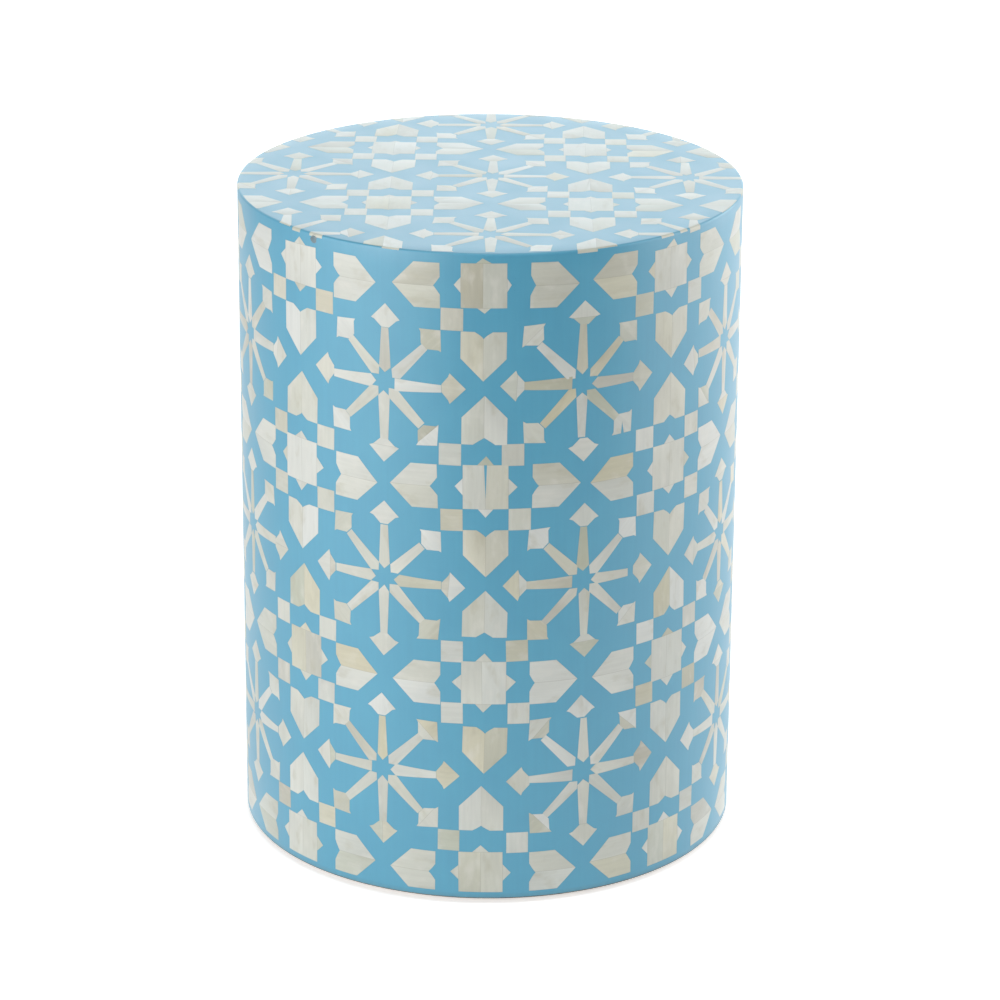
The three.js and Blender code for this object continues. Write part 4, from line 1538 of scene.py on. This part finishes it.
def plates_object(name, work, tiles, place):
    """Turns flat faces into plates on the drum, with what their material reads."""
    number = work.faces.layers.int["number"]
    grain_layer = work.verts.layers.float_vector.new("grain")
    look_layer = work.verts.layers.float_vector.new("look")
    wear_layer = work.verts.layers.float_vector.new("wear")
    lift_layer = work.verts.layers.float.new("lift")
    for vert in work.verts:
        tile = tiles[vert.link_faces[0][number]]
        away = (vert.co.x - tile.middle[0], vert.co.y - tile.middle[1])
        here = turned(away, -tile.angle)
        vert[grain_layer] = (here[0] + tile.start[0], here[1] + tile.start[1], tile.start[2])
        vert[look_layer] = tile.look
        over = place is fold_on_top and vert.co.length > sawn_from
        shade = away[0] * tile.slope[0] + away[1] * tile.slope[1]
        shade = max(-most_shade, min(most_shade, shade))
        at_edge = vert.is_boundary and not over
        vert[wear_layer] = (float(at_edge), float(over), shade)
        vert[lift_layer] = edge_lift if at_edge else tile.lift
    pushed = bmesh.ops.extrude_face_region(work, geom=work.faces[:])["geom"]
    for vert in (g for g in pushed if isinstance(g, bmesh.types.BMVert)):
        vert[lift_layer] = -plate_thickness
    bmesh.ops.recalc_face_normals(work, faces=work.faces[:])
    for vert in work.verts:
        vert.co = place(vert.co.x, vert.co.y, vert[lift_layer])
    work.normal_update()
    bmesh.ops.recalc_face_normals(work, faces=work.faces[:])
    return finished_piece(name, work, bone)


# %% [markdown]
# ## The side
# Eight columns of four stars, with the wheels to the right of each. The first row of stars comes
# close under the rim, so its upper points are short and sunk, the last row has no lower points,
# and one small square under the front column's first star was never laid.

# %% Trimming at the plain bands
last_row_margin = 0.6
least_height = 2.0
upper_edge = (first_row_drop - upper_band) / row_stretch
lower_edge = -(rows - 1) * pitch - unit - last_row_margin


def trimmed(tiles):
    """Cuts a column's tiles at the two plain bands, and leaves out those that hardly remain."""
    kept = []
    for tile in tiles:
        for point, beyond in (((0, upper_edge), (0, 1)), ((0, lower_edge), (0, -1))):
            tile.outline = cut_beyond(tile.outline, point, beyond)
        heights = [y for x, y in tile.outline]
        if len(heights) > 2 and max(heights) - min(heights) > least_height:
            kept.append(tile)
    return kept


print(f"the side's pattern runs from {upper_edge:.1f} to {lower_edge:.1f} mm")

# %% Columns of the side
tile_count = 0
for column in range(columns):
    tiles = []
    for row in range(rows):
        upper, lower = row > 0, row < rows - 1
        middle = (column * pitch, -row * pitch)
        squares = [upper, upper, lower, lower]
        hearts = [True, upper, True, lower]
        tiles += lay_star(f"star {column} {row}", middle, squares, hearts)
        if lower:
            wheel_middle = (middle[0] + half_pitch, middle[1] - half_pitch)
            tiles += lay_wheel(f"wheel {column} {row}", wheel_middle)
    tiles = [t for t in trimmed(tiles) if t.name not in missing_tiles]
    tile_count += len(tiles)
    work = flat_faces(tiles)
    slice_upright(work)
    piece = plates_object(f"inlay_column_{column + 1}", work, tiles, roll_on_side)
    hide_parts(f"bone_column_{column + 1}")
print("tiles on the side:", tile_count)

# %% [markdown]
# ## The top
# On top the same pattern lies on a square grid, a little to the back of the middle, and the rim
# cuts through it wherever it falls. More motifs are drawn than fit, and those outside are left
# out.

# %% Inlay on top
tiles = []
reach = math.ceil(drum_radius / mm / pitch)
everywhere = [True] * 4
for i in range(-reach, reach + 1):
    for j in range(-reach, reach + 1):
        middle = (i * pitch, j * pitch + top_setback)
        tiles += lay_wheel(f"top wheel {i} {j}", middle)
        star_middle = (middle[0] + half_pitch, middle[1] + half_pitch)
        tiles += lay_star(f"top star {i} {j}", star_middle, everywhere, everywhere)
tiles = [t for t in tiles if math.hypot(*t.middle) < flat_radius + unit]
tiles = [t for t in tiles if t.name not in missing_tiles]
work = flat_faces(tiles)
clip_at_rim(work, tiles)
piece = plates_object("inlay_top", work, tiles, fold_on_top)
top_nodes = [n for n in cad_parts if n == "bone_top" or n.startswith("bone_rim_tile")]
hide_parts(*top_nodes)
print("tiles drawn on top:", len(tiles), "in place of", len(top_nodes), "nodes")

# %% [markdown]
# ## The resin ground
# One skin of resin runs over the top, round a small arris and down to a raw edge at the foot. It
# is a profile turned round the drum's axis. The tiles stand a few hundredths of a millimetre over
# it, less than the eye can see, and go down into it.


# %% Turned pieces
turned_segments = 360


def turned_piece(name, profile, material):
    """A solid from a closed profile of (radius, height) in metres, turned round the drum's axis."""
    work = bmesh.new()
    rings = []
    for radius, height in profile:
        if radius < weld:
            rings.append([work.verts.new((0, 0, height))])
            continue
        ring = []
        for i in range(turned_segments):
            angle = full_turn * i / turned_segments
            ring.append(work.verts.new((radius * math.cos(angle), radius * math.sin(angle), height)))
        rings.append(ring)
    for i, ring in enumerate(rings):
        after = rings[(i + 1) % len(rings)]
        for j in range(turned_segments):
            k = (j + 1) % turned_segments
            corners = [ring[i % len(ring)] for i in (j, k)] + [after[i % len(after)] for i in (k, j)]
            distinct = list(dict.fromkeys(corners))
            if len(distinct) > 2:
                work.faces.new(distinct)
    bmesh.ops.recalc_face_normals(work, faces=work.faces[:])
    return finished_piece(name, work, material)


print("turned pieces have", turned_segments, "segments")

# %% Resin skin
raw_edge = 1.0
skin_thickness = 2.2
top_rings = 12
arris_rings = 6
side_rings = 40
skin_outer = drum_radius - resin_depth * mm
skin_top = drum_top - resin_depth * mm
skin_foot = drum_foot + raw_edge * mm
arris = (arris_radius - resin_depth) * mm
profile = [(0, skin_top)]
for step in range(1, top_rings):
    profile.append((step / top_rings * (skin_outer - arris), skin_top))
for step in range(arris_rings + 1):
    angle = math.pi / 2 * step / arris_rings
    profile.append(
        (skin_outer - arris + arris * math.sin(angle), skin_top - arris + arris * math.cos(angle))
    )
for step in range(1, side_rings + 1):
    profile.append((skin_outer, skin_top - arris + (skin_foot - skin_top + arris) * step / side_rings))
profile.append((skin_outer - skin_thickness * mm, skin_foot))
profile.append((skin_outer - skin_thickness * mm, skin_top - skin_thickness * mm))
profile.append((0, skin_top - skin_thickness * mm))
skin = turned_piece("resin_skin", profile, resin)
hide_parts("resin_coat")

# %% [markdown]
# ## Carcass: ply, fibreboard, softwood and rubber
# Under the inlay the drum is plain joinery, and only its underside shows. The shell is bent from
# thin birch ply, whose bottom edge shows the plies as fine rings, a pale one across the grain and
# a browner one along it. The base board is the same ply, so its face shows the veneer's flame
# figure. Below the resin a thin raw edge of the shell shows, grey-brown with glue and filler.
# The rings and the top are raw fibreboard, which is felted from short fibres and has no
# grain. The battens are planed softwood with straight growth rings, and the pads are matt moulded
# rubber. These pieces have the right shape in the CAD part, and so only get their materials here.


# %% Birch ply: the veneer's figure and pores
ply, tree, output = new_material("birch_ply")
place = add_node(tree, "ShaderNodeTexCoord")
ring_spacing = 9.0
figure_length = 160.0
across, along = 1 / (ring_spacing * mm), 1 / (figure_length * mm)
figure = add_node(
    tree,
    "ShaderNodeVectorMath",
    {"operation": "MULTIPLY", 1: (across, along, across)},
    {0: place.outputs["Object"]},
)
veneer = add_node(
    tree,
    "ShaderNodeTexNoise",
    {"Scale": 0.5, "Detail": 3.0, "Roughness": 0.5, "Distortion": 0.8},
    {"Vector": figure.outputs[0]},
)
veneer_tone = add_node(tree, "ShaderNodeValToRGB", {}, {"Fac": veneer.outputs[0]})
set_stops(veneer_tone, (0.3, "#B98F5D"), (0.7, "#DDBB8A"))
# Real pores are about a tenth of a millimetre wide. They are drawn coarser, to show.
pore_width = 0.5
pore_length = 7.0
across, along = 1 / (pore_width * mm), 1 / (pore_length * mm)
pore_place = add_node(
    tree,
    "ShaderNodeVectorMath",
    {"operation": "MULTIPLY", 1: (across, along, across)},
    {0: place.outputs["Object"]},
)
fine = add_node(
    tree,
    "ShaderNodeTexNoise",
    {"Scale": 1.0, "Detail": 2.0},
    {"Vector": pore_place.outputs[0]},
)
fine_tone = add_node(
    tree,
    "ShaderNodeMapRange",
    {"From Min": 0.35, "From Max": 0.65, "To Min": 0.88, "To Max": 1.04},
    {"Value": fine.outputs[0]},
)
faced = add_node(
    tree,
    "ShaderNodeVectorMath",
    {"operation": "SCALE"},
    {0: veneer_tone.outputs[0], "Scale": fine_tone.outputs[0]},
)

# %% Birch ply: the plies in the shell's edge, and the finished shader
apart = add_node(tree, "ShaderNodeSeparateXYZ", {}, {0: place.outputs["Object"]})
flat_place = add_node(tree, "ShaderNodeCombineXYZ", {}, {0: apart.outputs[0], 1: apart.outputs[1]})
from_axis = add_node(
    tree,
    "ShaderNodeVectorMath",
    {"operation": "LENGTH"},
    {0: flat_place.outputs[0]},
)
ply_thickness = 1.5
plies = add_node(
    tree,
    "ShaderNodeMath",
    {"operation": "MULTIPLY", 1: math.pi / (ply_thickness * mm)},
    {0: from_axis.outputs["Value"]},
)
plies = add_node(tree, "ShaderNodeMath", {"operation": "SINE"}, {0: plies.outputs[0]})
ply_ring = add_node(
    tree,
    "ShaderNodeMapRange",
    {"From Min": -0.15, "From Max": 0.15, "To Min": 0.0, "To Max": 0.75},
    {"Value": plies.outputs[0]},
)
in_shell = add_node(
    tree,
    "ShaderNodeMath",
    {"operation": "GREATER_THAN", 1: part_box("base_board")[1].x},
    {0: from_axis.outputs["Value"]},
)
ring_share = add_node(
    tree,
    "ShaderNodeMath",
    {"operation": "MULTIPLY"},
    {0: ply_ring.outputs[0], 1: in_shell.outputs[0]},
)
ply_colour = add_node(
    tree,
    "ShaderNodeMix",
    {"data_type": "RGBA", 7: linear("#8F6A42")},
    {0: ring_share.outputs[0], 6: faced.outputs[0]},
)
ply_bump = add_node(
    tree,
    "ShaderNodeBump",
    {"Strength": 0.6, "Distance": 0.05 * mm},
    {"Height": fine.outputs[0]},
)
shader = add_node(
    tree,
    "ShaderNodeBsdfPrincipled",
    {"Roughness": 0.72, "IOR": 1.5},
    {"Base Color": ply_colour.outputs[2], "Normal": ply_bump.outputs[0]},
)
tree.links.new(shader.outputs[0], output.inputs["Surface"])
print("ply:", len(tree.nodes), "nodes")


# %% Smeared glue and filler
smear_size = 9.0


def smeared_material(name, dark, pale):
    """A dull smear of glue and dust, a little rough, that goes from a darker to a paler tone."""
    material, tree, output = new_material(name)
    place = add_node(tree, "ShaderNodeTexCoord")
    smears = add_node(
        tree,
        "ShaderNodeTexNoise",
        {"Scale": 1 / (smear_size * mm), "Detail": 4.0, "Roughness": 0.6},
        {"Vector": place.outputs["Object"]},
    )
    tone = add_node(tree, "ShaderNodeValToRGB", {}, {"Fac": smears.outputs[0]})
    set_stops(tone, (0.35, dark), (0.7, pale))
    bump = add_node(
        tree,
        "ShaderNodeBump",
        {"Strength": 0.6, "Distance": 0.08 * mm},
        {"Height": smears.outputs[0]},
    )
    shader = add_node(
        tree,
        "ShaderNodeBsdfPrincipled",
        {"Roughness": 0.75, "IOR": 1.5},
        {"Base Color": tone.outputs[0], "Normal": bump.outputs[0]},
    )
    tree.links.new(shader.outputs[0], output.inputs["Surface"])
    return material


glue_smeared_ply = smeared_material("glue_smeared_ply_edge", "#5E6260", "#7D7868")
chip_filler = smeared_material("grey_filler_in_chip", "#5F7279", "#86959A")
print("smears:", glue_smeared_ply.name, chip_filler.name)

# %% Raw fibreboard
fibreboard, tree, output = new_material("raw_fibreboard")
place = add_node(tree, "ShaderNodeTexCoord")
# Real fibres are a few tenths of a millimetre wide. They are drawn coarser, to show.
fibre_size = 1.2
fibres = add_node(
    tree,
    "ShaderNodeTexNoise",
    {"Scale": 1 / (fibre_size * mm), "Detail": 4.0, "Roughness": 0.65},
    {"Vector": place.outputs["Object"]},
)
fibre_tone = add_node(tree, "ShaderNodeValToRGB", {}, {"Fac": fibres.outputs[0]})
set_stops(fibre_tone, (0.3, "#8A6A48"), (0.72, "#B8946A"))
felt = add_node(
    tree,
    "ShaderNodeBump",
    {"Strength": 0.7, "Distance": 0.08 * mm},
    {"Height": fibres.outputs[0]},
)
shader = add_node(
    tree,
    "ShaderNodeBsdfPrincipled",
    {"Roughness": 0.85, "IOR": 1.5},
    {"Base Color": fibre_tone.outputs[0], "Normal": felt.outputs[0]},
)
tree.links.new(shader.outputs[0], output.inputs["Surface"])
print("fibreboard:", len(tree.nodes), "nodes")

# %% Planed softwood
softwood, tree, output = new_material("planed_softwood")
place = add_node(tree, "ShaderNodeTexCoord")
growth_ring = 3.0
growth_length = 90.0
across, along = 1 / (growth_ring * mm), 1 / (growth_length * mm)
lengthwise = add_node(
    tree,
    "ShaderNodeVectorMath",
    {"operation": "MULTIPLY", 1: (across, across, along)},
    {0: place.outputs["Object"]},
)
rings = add_node(
    tree,
    "ShaderNodeTexNoise",
    {"Scale": 0.8, "Detail": 2.0, "Distortion": 0.4},
    {"Vector": lengthwise.outputs[0]},
)
ring_tone = add_node(tree, "ShaderNodeValToRGB", {}, {"Fac": rings.outputs[0]})
set_stops(ring_tone, (0.35, "#D9B57C"), (0.62, "#B4824A"))
plane_marks = add_node(
    tree,
    "ShaderNodeBump",
    {"Strength": 0.5, "Distance": 0.05 * mm},
    {"Height": rings.outputs[0]},
)
shader = add_node(
    tree,
    "ShaderNodeBsdfPrincipled",
    {"Roughness": 0.6, "IOR": 1.5},
    {"Base Color": ring_tone.outputs[0], "Normal": plane_marks.outputs[0]},
)
tree.links.new(shader.outputs[0], output.inputs["Surface"])
print("softwood:", len(tree.nodes), "nodes")

# %% Moulded rubber
rubber, tree, output = new_material("moulded_rubber")
place = add_node(tree, "ShaderNodeTexCoord")
mould_grain = 0.6
scuff_size = 6.0
mottle = add_node(
    tree,
    "ShaderNodeTexNoise",
    {"Scale": 1 / (mould_grain * mm), "Detail": 3.0, "Roughness": 0.6},
    {"Vector": place.outputs["Object"]},
)
scuffs = add_node(
    tree,
    "ShaderNodeTexNoise",
    {"Scale": 1 / (scuff_size * mm), "Detail": 3.0},
    {"Vector": place.outputs["Object"]},
)
scuff_tone = add_node(tree, "ShaderNodeValToRGB", {}, {"Fac": scuffs.outputs[0]})
set_stops(scuff_tone, (0.4, "#262626"), (0.75, "#3E3D3A"))
skin_grain = add_node(
    tree,
    "ShaderNodeBump",
    {"Strength": 0.6, "Distance": 0.06 * mm},
    {"Height": mottle.outputs[0]},
)
shader = add_node(
    tree,
    "ShaderNodeBsdfPrincipled",
    {"Roughness": 0.7, "IOR": 1.5},
    {"Base Color": scuff_tone.outputs[0], "Normal": skin_grain.outputs[0]},
)
tree.links.new(shader.outputs[0], output.inputs["Surface"])
print("rubber:", len(tree.nodes), "nodes")

# %% Give the CAD pieces their materials
finishes = {
    "ply": ply,
    "board": fibreboard,
    "softwood": softwood,
    "rubber": rubber,
    "resin": resin,
    "bone": bone,
}
for name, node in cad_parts.items():
    for slot in node.material_slots:
        slot.material = finishes[slot.material.name.split(".")[0]]
print("materials:", [m.name for m in bpy.data.materials if m.users])

# %% [markdown]
# ## Raw edge and filled chip
# At the foot the shell's lower edge comes out under the resin by a millimetre, half a millimetre
# further in, and shows as a thin dark line. At the front left a bit of the rim has broken off
# and was filled with grey filler. The chip is drawn as a small patch with a ragged outline that
# follows the rounded rim and lies flush in it.

# %% Raw edge at the foot
edge_overlap = 0.05 * mm
edge_step = 0.5 * mm
edge_bevel = 0.2 * mm
edge_top = skin_foot + edge_overlap
edge_outer = drum_radius - edge_step
edge_inner = skin_outer - skin_thickness * mm
profile = [
    (edge_inner, drum_foot),
    (edge_outer - edge_bevel, drum_foot),
    (edge_outer, drum_foot + edge_bevel),
    (edge_outer, edge_top),
    (edge_inner, edge_top),
]
turned_piece("raw_foot_edge", profile, glue_smeared_ply)

# %% Filled chip at the rim
# Each row is how far it lies out over the arris, and where it starts and ends, in millimetres.
chip_turn = math.radians(-41)
chip_steps = 4
chip_lift = 0.04
chip_edge_lift = 0.005
chip_depth = 0.3
chip_rows = (
    (1.0, -0.9, 1.2),
    (1.8, -2.4, 1.9),
    (2.6, -3.2, 2.1),
    (3.6, -2.6, 2.6),
    (5.0, -3.9, 1.6),
    (6.4, -3.4, 1.9),
    (7.8, -1.9, 0.6),
)
work = bmesh.new()
rows_of_points = []
for i, (out, low, high) in enumerate(chip_rows):
    points = []
    reach = flat_radius + out
    for j in range(chip_steps + 1):
        turn = chip_turn + (low + (high - low) * j / chip_steps) / flat_radius
        on_edge = i in (0, len(chip_rows) - 1) or j in (0, chip_steps)
        lift = chip_edge_lift if on_edge else chip_lift
        point = fold_on_top(reach * math.sin(turn), -reach * math.cos(turn), lift)
        points.append(work.verts.new(point))
    rows_of_points.append(points)
for upper_row, lower_row in zip(rows_of_points, rows_of_points[1:]):
    for j in range(chip_steps):
        work.faces.new((upper_row[j], upper_row[j + 1], lower_row[j + 1], lower_row[j]))
pushed = bmesh.ops.extrude_face_region(work, geom=work.faces[:])["geom"]
for vert in (g for g in pushed if isinstance(g, bmesh.types.BMVert)):
    outward = Vector((vert.co.x, vert.co.y, 0)).normalized()
    vert.co = vert.co - (outward + Vector((0, 0, 1))) * chip_depth * mm
bmesh.ops.recalc_face_normals(work, faces=work.faces[:])
finished_piece("filled_chip", work, chip_filler)

# %% [markdown]
# ## Finish
# The last cell counts the pieces and measures the dressed stool.

# %% Finish
piece_names = [o.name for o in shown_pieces()]
print("pieces:", len(piece_names))
low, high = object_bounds()
print("visual box in mm:", [round(v / mm, 1) for v in (*low, *high)])
